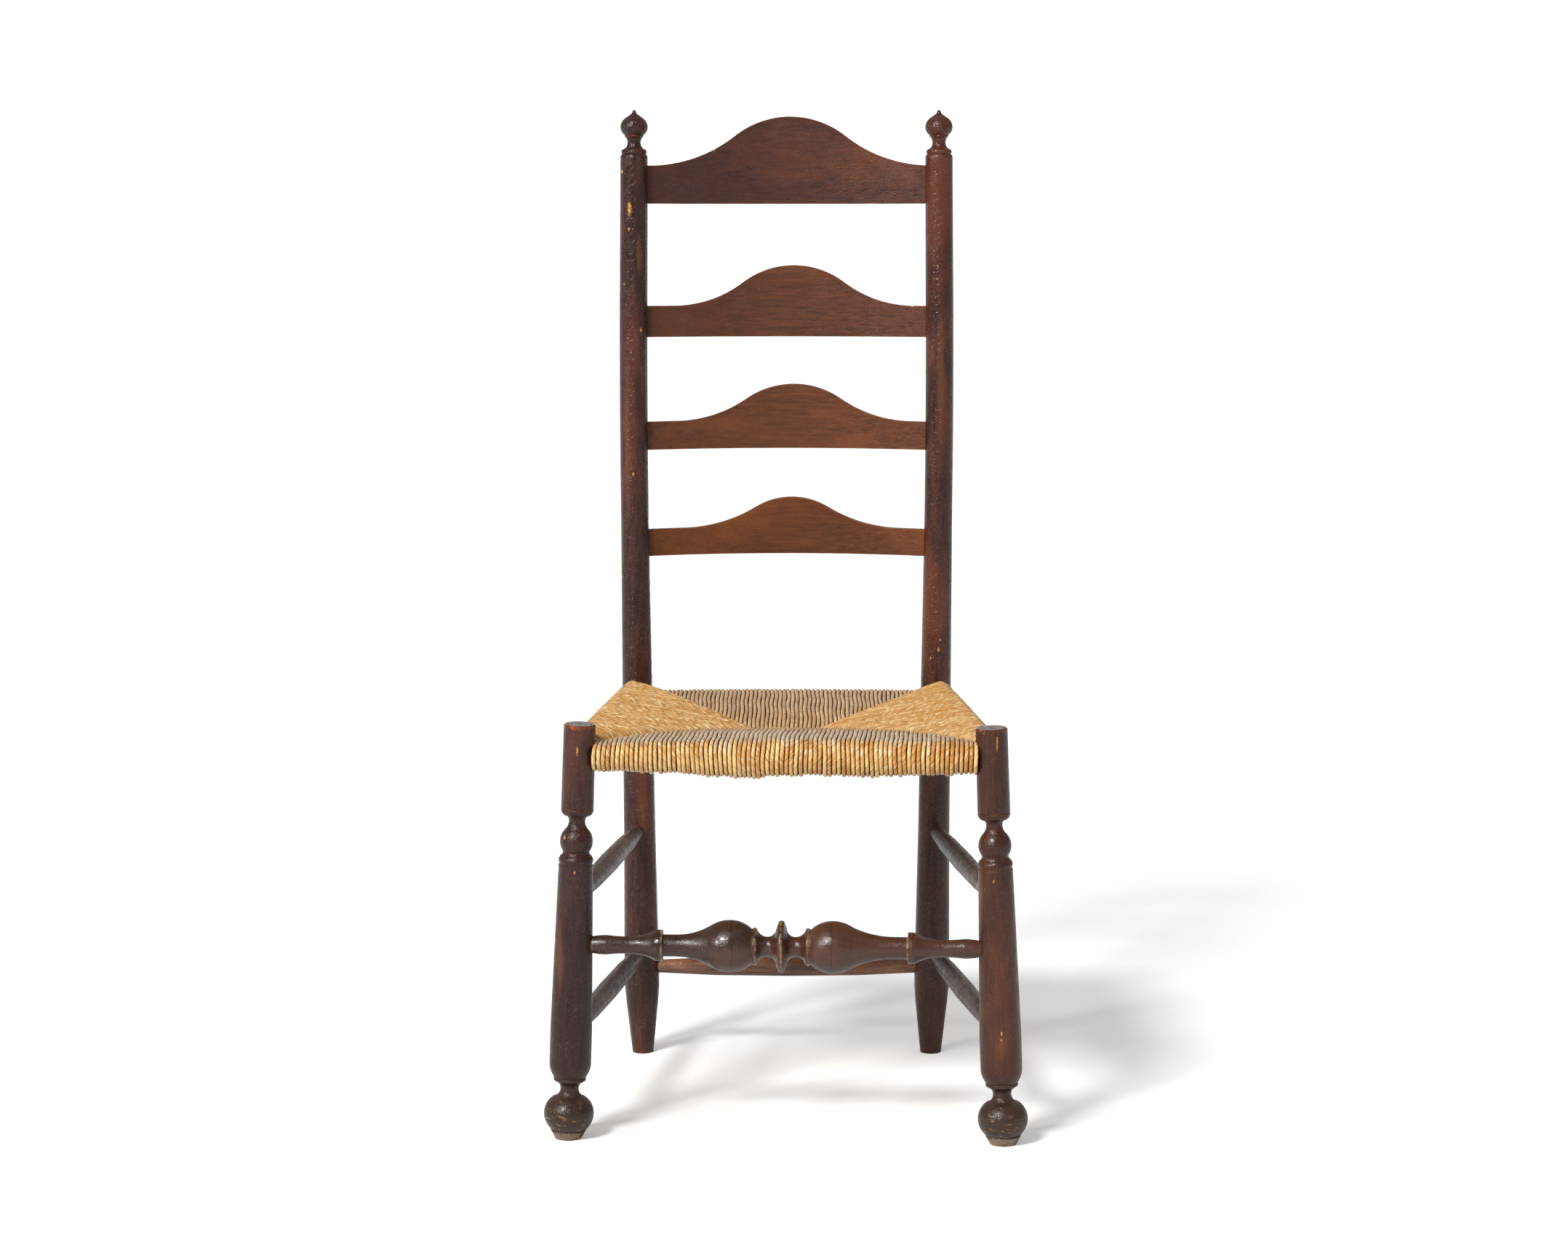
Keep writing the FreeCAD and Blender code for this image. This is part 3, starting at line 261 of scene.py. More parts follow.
@dataclass(frozen=True)
class LegTop:
    """The bare end grain on top of a front leg, ringed about the leg's centre, in metres."""

    x: float
    y: float
    height: float = 0.4454
    face_edges: tuple[float, float] = (0.43, 0.44)
    ring_pitch: float = 0.0042
    ring_edges: tuple[float, float] = (-0.4, 0.9)
    ring_wander: float = 0.0022
    wander_per_metre: float = 160.0  # 6 mm apart
    pith_radius: float = 0.0035
    pith_core: float = 0.0018
    rim_drop: float = 0.0052
    # the rim is worn all round, and painted brighter on its left side, where the light falls
    rim_light_edges: tuple[float, float] = (0.004, -0.012)
    rim_everywhere: float = 0.2
    rim_light_left: float = 0.8
    level: tuple[float, float] = (0.80, 0.95)
    pale: str = "#928a85"
    dark: str = "#241f1d"
    pore: str = "#aca5a0"
    pith: str = "#1e1917"
    rim: str = "#a4561f"


@dataclass(frozen=True)
class StainedMaple:
    """Old maple under a dark red-brown stain and a thin, crazed satin varnish.

    The eye gets long fine streaks, warmer patches where hands and feet wore the stain thin,
    small pale chips, and a sheen that breaks up into glints over the crazed varnish. The
    varnish's blisters are about a millimetre across on the real chair and are drawn at twice
    that, so that they still show from across a room, and so are the specks of dust in it.
    """

    name: str
    grain: Grain
    dark: str = "#200c08"
    body: str = "#401c13"
    warm: str = "#793a1c"
    chip: str = "#b5833f"
    worn: str = "#a8652f"
    dust: str = "#8c7a70"
    warm_share: float = 0.5
    dust_share: float = 0.12
    band_share: float = 0.35
    crack_share: float = 0.2
    roughness: float = 0.25
    gloss: float = 0.4
    relief: float = 0.0006
    edge_wear: float = 0.0
    foot_wear: float = 0.0
    # painted shade: how far a piece is darkened towards its left end
    end_shade: float = 0.0
    end_shade_edges: tuple[float, float] = (0.06, -0.16)
    streak_width: float = 0.0030
    streak_stretch: float = 0.07
    streak_edges: tuple[float, float] = (0.28, 0.70)
    band_width: float = 0.0120
    band_edges: tuple[float, float] = (0.60, 0.36)
    patch_size: float = 0.07
    patch_stretch: float = 0.25
    patch_edges: tuple[float, float] = (0.46, 0.66)
    craze_size: float = 0.0038
    craze_stretch: float = 0.55
    craze_edges: tuple[float, float] = (0.08, 0.0)
    craze_depth: float = 0.4
    grain_depth: float = 0.5
    blister_size: float = 0.0021
    sheen_clouds: float = 120.0  # per metre, so 8 mm apart
    sheen_edges: tuple[float, float] = (0.3, 0.7)
    glossier: float = 0.08
    duller: float = 0.20
    edge_radius: float = 0.0018
    wear_edges: tuple[float, float] = (0.985, 0.86)
    front_edges: tuple[float, float] = (0.1, -0.1)
    thin: str = "#70401f"
    thin_share: float = 0.55
    thin_ragged: float = 1.2
    thin_per_metre: float = 190.0  # 5 mm apart
    thin_stretch: float = 0.15
    thin_edges: tuple[float, float] = (1.65, 0.65)
    thin_places: tuple[Chip, ...] = ()
    chip_ragged: float = 2.2
    chip_per_metre: float = 620.0  # 1.6 mm apart
    chip_edges: tuple[float, float] = (2.02, 1.78)
    chips: tuple[Chip, ...] = ()
    groove: str = "#140a08"
    scored: tuple[float, ...] = ()
    scored_share: float = 0.6
    scored_half_width: float = 0.0008
    # pale lines round the ring crests: wear and painted highlight
    worn_and_highlit_lines: tuple[float, ...] = ()
    worn_and_highlit_share: float = 0.7
    worn_and_highlit_half_width: float = 0.0016
    line_core: float = 0.4
    foot: str = "#33291f"
    foot_share: float = 0.65
    foot_edges: tuple[float, float] = (0.080, 0.064)
    pad: str = "#8d7763"
    pad_share: float = 0.75
    pad_edges: tuple[float, float] = (0.0105, 0.0080)
    scuff_edges: tuple[float, float] = (0.050, 0.020)
    scuff_stretch: tuple[float, float, float] = (1.0, 1.0, 2.8)
    top: LegTop | None = None
    dust_specks: Mottle = Mottle(800.0, 0.56, 0.68, detail=2.0)  # 1.25 mm apart
    dust_clouds: Mottle = Mottle(45.0, 0.42, 0.62)  # 22 mm apart
    line_breaks: Mottle = Mottle(170.0, 0.36, 0.62)  # 6 mm apart
    edge_breaks: Mottle = Mottle(60.0, 0.40, 0.62)  # 17 mm apart
    pad_wear: Mottle = Mottle(90.0, 0.30, 0.60)  # 11 mm apart
    foot_scuffs: Mottle = Mottle(85.0, 0.58, 0.66, 5.0, 0.70, 0.6)  # 12 mm apart
    end_pores: Mottle = Mottle(300.0, 0.42, 0.72, 4.0, 0.7)  # 3.3 mm apart
    rim_wear: Mottle = Mottle(110.0, 0.42, 0.56, 4.0, 0.65)  # 9 mm apart

    def build(self) -> bpy.types.Material:
        """Build the node tree.

        Returns:
            The finished material.
        """
        m = Material(self.name)
        lengthways = self.grain.stretched(m, self.streak_stretch)
        streaks = m.add("ShaderNodeTexNoise", {}, {
            "Vector": lengthways, "Scale": 1 / self.streak_width,
            "Detail": 5.0, "Roughness": 0.68, "Distortion": 0.3})
        crack = self.crazing(m)
        layers = [
            *self.stain(m, lengthways, streaks),
            *((self.rubbed_thin(m, place), self.thin) for place in self.thin_places),
            (m.times(crack, self.crack_share), self.dark),
            (self.settled_dust(m), self.dust),
        ]
        if self.edge_wear > 0:
            layers.append((self.worn_edges(m), self.worn))
        if self.foot_wear > 0:
            layers += self.worn_foot(m)
        for line in self.scored:
            layers.append((self.line_at(m, line, self.scored_half_width, self.scored_share), self.groove))
        # pale lines on the ring crests, in the worn colour: partly wear, partly painted highlight
        if self.worn_and_highlit_lines:
            broken = m.mottled(self.line_breaks)
            for line in self.worn_and_highlit_lines:
                rubbed = self.line_at(m, line, self.worn_and_highlit_half_width, broken, self.worn_and_highlit_share)
                layers.append((rubbed, self.worn))
        layers += [(self.knocked_off(m, chip), self.chip) for chip in self.chips]
        if self.top is not None:
            layers += self.end_grain(m, self.top)
        return self.varnished(m, m.layered(self.dark, *layers), streaks, crack)

    def stain(self, m: Material, lengthways: Socket, streaks: Socket) -> list[tuple[Socket, str]]:
        """Return the layers of stained wood that lie over the dark ground, before any wear,
        and the painted shade that darkens a slat towards its left end.

        Args:
            m: The material.
            lengthways: Object coordinates drawn out along the grain.
            streaks: The fine grain.

        Returns:
            The mask and the colour of each layer.
        """
        bands = m.add("ShaderNodeTexNoise", {}, {
            "Vector": lengthways, "Scale": 1 / self.band_width,
            "Detail": 3.0, "Roughness": 0.5, "Distortion": 0.6})
        patches = m.add("ShaderNodeTexNoise", {}, {
            "Vector": self.grain.stretched(m, self.patch_stretch), "Scale": 1 / self.patch_size,
            "Detail": 4.0, "Roughness": 0.6, "Distortion": 0.8})
        layers = [
            (m.mask(streaks, self.streak_edges), self.body),
            (m.mask(bands, self.band_edges, self.band_share), self.dark),
            (m.mask(patches, self.patch_edges, self.warm_share), self.warm),
        ]
        # painted shade: the piece darkens towards its left end, by the post
        if self.end_shade > 0:
            across = m.add("ShaderNodeSeparateXYZ", {}, {0: m.place}, "X")
            layers.append((m.mask(across, self.end_shade_edges, self.end_shade), self.dark))
        return layers

    def varnished(
        self,
        m: Material,
        colour: Socket,
        streaks: Socket,
        crack: Socket,
    ) -> bpy.types.Material:
        """Add the satin varnish over a colour.

        Args:
            m: The material.
            colour: The stained wood.
            streaks: The fine grain.
            crack: Where the varnish is crazed.

        Returns:
            The finished material.
        """
        blisters = m.add("ShaderNodeTexNoise", {}, {
            "Vector": m.place, "Scale": 1 / self.blister_size, "Detail": 2.0, "Roughness": 0.5})
        clouds = m.add("ShaderNodeTexNoise", {}, {
            "Vector": m.place, "Scale": self.sheen_clouds, "Detail": 3.0, "Roughness": 0.6})
        roughness = m.add("ShaderNodeMapRange", {}, {
            "Value": clouds,
            "From Min": self.sheen_edges[0],
            "From Max": self.sheen_edges[1],
            "To Min": self.roughness - self.glossier,
            "To Max": self.roughness + self.duller,
        })
        relief = m.total(m.times(streaks, self.grain_depth), m.times(crack, -self.craze_depth), blisters)
        bump = m.add("ShaderNodeBump", {}, {"Height": relief, "Strength": 0.45, "Distance": self.relief})
        return m.finish({
            "Base Color": colour,
            "Roughness": roughness,
            "IOR": 1.5,
            "Specular IOR Level": self.gloss,
            "Normal": bump,
        })

    def line_at(self, m: Material, place: float, half_width: float, *shares: object) -> Socket:
        """Return a thin line round the piece at a place along its grain.

        Args:
            m: The material.
            place: Metres along the axis that the grain follows.
            half_width: How far the line reaches to each side.
            shares: Numbers or sockets that the line is multiplied by.

        Returns:
            How strong the line is.
        """
        along = m.add("ShaderNodeSeparateXYZ", {}, {0: m.place}, self.grain.value)
        away = m.add("ShaderNodeMath", {"operation": "SUBTRACT"}, {0: along, 1: place})
        distance = m.add("ShaderNodeMath", {"operation": "ABSOLUTE"}, {0: away})
        return m.mask(distance, (half_width, half_width * self.line_core), *shares)

    def crazing(self, m: Material) -> Socket:
        """Return the fine cracks of the varnish, a little longer along the grain.

        Args:
            m: The material.

        Returns:
            1 in a crack.
        """
        vector = self.grain.stretched(m, self.craze_stretch)
        cells = m.add(
            "ShaderNodeTexVoronoi",
            {"feature": "DISTANCE_TO_EDGE"},
            {"Vector": vector, "Scale": 1 / self.craze_size},
            "Distance",
        )
        return m.mask(cells, self.craze_edges)

    def settled_dust(self, m: Material) -> Socket:
        """Return the specks of pale dust caught in the varnish, in clouds."""
        return m.times(m.mottled(self.dust_specks), m.mottled(self.dust_clouds), self.dust_share)

    def worn_edges(self, m: Material) -> Socket:
        """Return where an edge is rubbed, from how far a rounded normal leaves the true one.

        Args:
            m: The material.

        Returns:
            How far the edge is worn.
        """
        rounded = m.add("ShaderNodeBevel", {"samples": 4}, {"Radius": self.edge_radius})
        true = m.add("ShaderNodeNewGeometry", output="True Normal")
        product = {"operation": "DOT_PRODUCT"}
        likeness = m.add("ShaderNodeVectorMath", product, {0: rounded, 1: true}, "Value")
        return m.mask(likeness, self.wear_edges, m.mottled(self.edge_breaks), self.edge_wear)

    def worn_foot(self, m: Material) -> list[tuple[Socket, str]]:
        """Return the layers of wear on a ball foot, with a pad rubbed pale by the floor.

        Args:
            m: The material.

        Returns:
            The mask and the colour of each layer.
        """
        height = m.add("ShaderNodeSeparateXYZ", {}, {0: m.place}, "Z")
        raised = m.add("ShaderNodeMapping", {}, {"Vector": m.place, "Scale": self.scuff_stretch})
        scuffs = m.mottled(self.foot_scuffs, raised)
        return [
            (m.mask(height, self.foot_edges, self.foot_share), self.foot),
            (m.mask(height, self.pad_edges, m.mottled(self.pad_wear), self.pad_share), self.pad),
            (m.mask(height, self.scuff_edges, scuffs, self.foot_wear), self.chip),
        ]

    def distance_from(self, m: Material, chip: Chip) -> Socket:
        """Return how far a point is from a chip's middle, seen from the front.

        Args:
            m: The material.
            chip: Where the chip is and how large.

        Returns:
            1 at the chip's edge and 0 in its middle.
        """
        centre, sizes = (chip.x, 0.0, chip.z), (1 / chip.half_width, 0.0, 1 / chip.half_height)
        moved = m.add("ShaderNodeVectorMath", {"operation": "SUBTRACT"}, {0: m.place, 1: centre})
        sized = m.add("ShaderNodeVectorMath", {"operation": "MULTIPLY"}, {0: moved, 1: sizes})
        return m.add("ShaderNodeVectorMath", {"operation": "LENGTH"}, {0: sized}, "Value")

    def knocked_off(self, m: Material, chip: Chip) -> Socket:
        """Return one chip as a ragged patch on the front of the piece.

        Args:
            m: The material.
            chip: Where the chip is and how large.

        Returns:
            1 inside the chip.
        """
        frayed = m.add("ShaderNodeTexNoise", {}, {
            "Vector": m.place, "Scale": self.chip_per_metre, "Detail": 4.0, "Roughness": 0.7})
        ragged = m.total(self.distance_from(m, chip), m.times(frayed, self.chip_ragged))
        return m.mask(ragged, self.chip_edges, m.mask(m.facing("Y"), self.front_edges))

    def rubbed_thin(self, m: Material, place: Chip) -> Socket:
        """Return one soft place where the stain is rubbed thin, on the front of the piece.

        Args:
            m: The material.
            place: Where it is and how large.

        Returns:
            How thin the stain is.
        """
        drifting = m.add("ShaderNodeTexNoise", {}, {
            "Vector": self.grain.stretched(m, self.thin_stretch), "Scale": self.thin_per_metre,
            "Detail": 4.0, "Roughness": 0.6})
        ragged = m.total(self.distance_from(m, place), m.times(drifting, self.thin_ragged))
        return m.mask(ragged, self.thin_edges, m.mask(m.facing("Y"), self.front_edges), self.thin_share)

    def end_grain(self, m: Material, top: LegTop) -> list[tuple[Socket, object]]:
        """Return the layers of the leg's rubbed rim, made brighter on its left side as painted light, and
        of the bare top inside it.

        Args:
            m: The material.
            top: Where the top face is.

        Returns:
            The mask and the colour of each layer.
        """
        flat = m.add("ShaderNodeMapping", {}, {
            "Vector": m.place, "Location": (-top.x, -top.y, 0.0), "Scale": (1.0, 1.0, 0.0)})
        distance = m.add("ShaderNodeVectorMath", {"operation": "LENGTH"}, {0: flat}, "Value")
        wander = m.add("ShaderNodeTexNoise", {}, {
            "Vector": m.place, "Scale": top.wander_per_metre, "Detail": 2.0, "Roughness": 0.55})
        angle = m.times(m.total(distance, m.times(wander, top.ring_wander)), 2 * math.pi / top.ring_pitch)
        rings = m.add("ShaderNodeMath", {"operation": "SINE"}, {0: angle})
        face = m.layered(
            top.pale,
            (m.mask(rings, top.ring_edges), top.dark),
            (m.mottled(self.end_pores), top.pore),
            (m.mask(distance, (top.pith_radius, top.pith_core)), top.pith),
        )
        across = m.add("ShaderNodeSeparateXYZ", {}, {0: m.place}, "X")
        height = m.add("ShaderNodeSeparateXYZ", {}, {0: m.place}, "Z")
        # painted light: the worn rim is laid on more strongly on its left side
        lit_left_side = m.mask(across, (top.x + top.rim_light_edges[0], top.x + top.rim_light_edges[1]), top.rim_light_left)
        rim_wear_and_light = m.total(lit_left_side, top.rim_everywhere)
        brim = (top.height - top.rim_drop, top.height - top.rim_drop / 2)
        return [
            (m.mask(height, brim, m.mottled(self.rim_wear), rim_wear_and_light), top.rim),
            (m.mask(m.facing("Z"), top.level, m.mask(height, top.face_edges)), face),
        ]


@dataclass(frozen=True)
class ShavedMaple:
    """Bare shaved maple under the rush: pale brown, dry and matt, with drawknife streaks."""

    name: str = "bare_shaved_maple"
    pale: str = "#84653f"
    brown: str = "#5d452b"
    streaks_per_metre: float = 500.0  # 2 mm apart, and five times as long
    stretch: tuple[float, float, float] = (0.2, 0.2, 1.0)

    def build(self) -> bpy.types.Material:
        """Build the node tree.

        Returns:
            The finished material.
        """
        m = Material(self.name)
        drawn_out = m.add("ShaderNodeMapping", {}, {"Vector": m.place, "Scale": self.stretch})
        streaks = m.add("ShaderNodeTexNoise", {}, {
            "Vector": drawn_out, "Scale": self.streaks_per_metre, "Detail": 3.0, "Roughness": 0.55})
        bump = m.add("ShaderNodeBump", {}, {"Height": streaks, "Strength": 0.3, "Distance": 0.0005})
        colour = m.layered(self.pale, (streaks, self.brown))
        return m.finish({"Base Color": colour, "Roughness": 0.75, "IOR": 1.5, "Normal": bump})


@dataclass(frozen=True)
class TwistedRush:
    """Two-ply cord of twisted bulrush leaves under a thin varnish.

    Each cord has its own tone, runs of pale and brown leaf along it, pale specks that are partly
    pale leaf and partly painted glints, plies that cross it on the slant with brown leaf and
    painted shade in their creases, painted shade where it touches its neighbours, and a dull look
    where the sitter rubs it. The patterns follow the cord's own map, in metres along it and in
    turns round it. The fibres of a leaf are under half a millimetre wide and are drawn two or
    three times that, so that they still show.
    """

    name: str
    pale: str
    body: str
    brown: str
    # colour of the painted shade where a cord touches its neighbours
    gap_shade: str = "#633712"
    # pale specks along the leaves: partly pale leaf, partly painted glints
    pale_fleck_and_glint: str = "#ffeec0"
    rubbed: str = "#ffe7c2"
    rubbed_dark: str = "#c79f74"
    ply_length: float = 0.0190
    wander: float = 1.1
    wanders_per_metre: float = 28.0  # 36 mm apart
    runs_per_metre: float = 26.0  # 38 mm long
    run_edges: tuple[float, float] = (0.44, 0.82)
    tone_spread: float = 0.22
    fibre_length: float = 0.033
    fibres_across: float = 13.0
    fibre_edges: tuple[float, float] = (0.50, 0.70)
    fibre_share: float = 0.75
    fibre_depth: float = 0.35
    fleck_and_glint_length: float = 0.013
    fleck_and_glint_width: float = 0.11
    fleck_and_glint_from: float = 0.58
    fleck_and_glint_edge: float = 0.09
    gap_shade_share: float = 0.92
    gap_shade_edges: tuple[float, float] = (0.58, 0.94)
    groove_shade_share: float = 0.22
    groove_shade_edges: tuple[float, float] = (0.30, 0.0)
    fleck_and_glint_share: float = 0.5
    rub_spots: float = 240.0  # per metre, so 4 mm apart
    rub_clouds: float = 42.0  # per metre, so 24 mm apart
    rub_ragged: float = 1.5
    rub_edges: tuple[float, float] = (0.15, 0.95)
    rubbed_dark_edges: tuple[float, float] = (0.36, 0.64)
    ridge_edges: tuple[float, float] = (0.0, 0.7)
    tone_shift: float = 40.0  # moves the patterns from cord to cord
    tone_turns: float = 5.0
    relief: float = 0.0005
    roughness: float = 0.23

    def build(self) -> bpy.types.Material:
        """Build the node tree.

        Returns:
            The finished material.
        """
        m = Material(self.name)
        tone = m.add("ShaderNodeAttribute", {"attribute_name": "cord_tone"}, output="Fac")
        cord_map = m.add("ShaderNodeUVMap", {"uv_map": "cord"})
        length, turn, _ = add_node(m.tree, "ShaderNodeSeparateXYZ", {}, {0: cord_map}).outputs
        own = m.times(tone, self.tone_shift)
        drift = self.leaf(m, m.times(length, self.wanders_per_metre), own, detail=2.0, roughness=0.55)
        plies = m.add("ShaderNodeMath", {"operation": "DIVIDE"}, {0: length, 1: self.ply_length})
        slant = m.total(plies, turn, m.times(drift, self.wander), m.times(tone, self.tone_turns))
        wave = self.swing(m, "SINE", slant)
        fibres = self.leaf(
            m, m.times(length, 1 / self.fibre_length), m.times(slant, self.fibres_across), own,
            detail=4.0, roughness=0.62)
        flecks_and_glints = self.leaf(
            m, m.times(length, 1 / self.fleck_and_glint_length), m.times(slant, 1 / self.fleck_and_glint_width), own,
            detail=2.0, roughness=0.5)
        runs = self.leaf(m, m.times(length, self.runs_per_metre), own, detail=3.0, roughness=0.6)
        paler = m.total(runs, m.times(tone, self.tone_spread))
        fleck_and_glint_edges = (self.fleck_and_glint_from, self.fleck_and_glint_from + self.fleck_and_glint_edge)
        colour = m.layered(
            self.body,
            (m.mask(paler, self.run_edges), self.pale),
            (m.mask(fibres, self.fibre_edges, self.fibre_share), self.brown),
            # pale specks along the leaves, partly pale leaf and partly painted glints
            (m.mask(flecks_and_glints, fleck_and_glint_edges, self.fleck_and_glint_share), self.pale_fleck_and_glint),
            self.dulled(m, fibres),
            # brown leaf and painted shade in the crease between the plies
            (m.mask(wave, self.groove_shade_edges, self.groove_shade_share), self.brown),
            # painted shade along the lines where the cord touches its neighbours
            (m.mask(self.swing(m, "COSINE", turn), self.gap_shade_edges, self.gap_shade_share), self.gap_shade),
        )
        ridges, hollows = m.mask(wave, self.ridge_edges), m.times(fibres, self.fibre_depth)
        height = m.add("ShaderNodeMath", {"operation": "SUBTRACT"}, {0: ridges, 1: hollows})
        bump = m.add("ShaderNodeBump", {}, {"Height": height, "Strength": 0.7, "Distance": self.relief})
        return m.finish({"Base Color": colour, "Roughness": self.roughness, "IOR": 1.48, "Normal": bump})

    def leaf(self, m: Material, *places: Socket, detail: float, roughness: float) -> Socket:
        """Return a noise that follows the cord's own map.

        Args:
            m: The material.
            places: Where the noise is read, in features: along the cord, round it, from cord to cord.
            detail: Octaves.
            roughness: Weight of the finer octaves.

        Returns:
            The noise.
        """
        vector = m.add("ShaderNodeCombineXYZ", {}, dict(enumerate(places)))
        inputs = {"Vector": vector, "Scale": 1.0, "Detail": detail, "Roughness": roughness}
        return m.add("ShaderNodeTexNoise", {}, inputs)

    def swing(self, m: Material, operation: str, turns: Socket) -> Socket:
        """Return the size of a sine or cosine, which swings twice for each turn.

        Args:
            m: The material.
            operation: SINE or COSINE.
            turns: The angle in turns.

        Returns:
            A value from 0 to 1.
        """
        wave = m.add("ShaderNodeMath", {"operation": operation}, {0: m.times(turns, 2 * math.pi)})
        return m.add("ShaderNodeMath", {"operation": "ABSOLUTE"}, {0: wave})

    def dulled(self, m: Material, fibres: Socket) -> tuple[Socket, Socket]:
        """Return the layer where the varnish is rubbed off, by the cord's own rub.

        Args:
            m: The material.
            fibres: The fine leaf streaks.

        Returns:
            Its mask and its colour.
        """
        worn = [m.add("ShaderNodeAttribute", {"attribute_name": "cord_rub"}, output="Fac")]
        for per_metre, detail, roughness in ((self.rub_spots, 3.0, 0.65), (self.rub_clouds, 2.0, 0.5)):
            inputs = {"Vector": m.place, "Scale": per_metre, "Detail": detail, "Roughness": roughness}
            noise = m.add("ShaderNodeTexNoise", {}, inputs)
            centred = m.add("ShaderNodeMath", {"operation": "SUBTRACT"}, {0: noise, 1: 0.5})
            worn.append(m.times(centred, self.rub_ragged))
        dull = m.layered(self.rubbed, (m.mask(fibres, self.rubbed_dark_edges), self.rubbed_dark))
        return m.mask(m.total(*worn), self.rub_edges), dull


@dataclass(frozen=True)
class PackedRush:
    """Loose dry rush ends packed between the layers, dull brown in the gaps between cords."""

    name: str = "packed_rush_ends"
    dark: str = "#2e2013"
    pale: str = "#5d472b"
    ends_per_metre: float = 420.0  # 2.4 mm apart
    end_edges: tuple[float, float] = (0.35, 0.7)

    def build(self) -> bpy.types.Material:
        """Build the node tree.

        Returns:
            The finished material.
        """
        m = Material(self.name)
        ends = m.add("ShaderNodeTexNoise", {}, {
            "Vector": m.place, "Scale": self.ends_per_metre, "Detail": 4.0, "Roughness": 0.65})
        colour = m.layered(self.dark, (m.mask(ends, self.end_edges), self.pale))
        bump = m.add("ShaderNodeBump", {}, {"Height": ends, "Strength": 0.6, "Distance": 0.001})
        return m.finish({"Base Color": colour, "Roughness": 0.9, "IOR": 1.45, "Normal": bump})


@dataclass(frozen=True)
class StudioPaper:
    """White studio paper: matt, and pure white to the camera where no shadow falls."""

    name: str = "white_studio_paper"
    white: str = "#f4f4f4"
    lift: float = 0.26

    def build(self) -> bpy.types.Material:
        """Build the node tree.

        Returns:
            The finished material.
        """
        material = bpy.data.materials.new(self.name)
        material.use_nodes = True
        tree = material.node_tree
        tree.nodes.clear()
        paper = add_node(tree, "ShaderNodeBsdfDiffuse", {}, {"Color": linear(self.white)})
        seen = add_node(tree, "ShaderNodeLightPath").outputs["Is Camera Ray"]
        strength = add_node(tree, "ShaderNodeMath", {"operation": "MULTIPLY"}, {0: seen, 1: self.lift})
        lift = add_node(tree, "ShaderNodeEmission", {}, {"Strength": strength.outputs[0]})
        both = add_node(tree, "ShaderNodeAddShader", {}, {0: paper.outputs[0], 1: lift.outputs[0]})
        add_node(tree, "ShaderNodeOutputMaterial", {}, {"Surface": both.outputs[0]})
        return material


def paint(piece: bpy.types.Object, material: bpy.types.Material) -> None:
    """Put one material in every slot of a piece.

    Args:
        piece: The piece.
        material: Its material.
    """
    if not piece.material_slots:
        piece.data.materials.append(material)
    for slot in piece.material_slots:
        slot.material = material


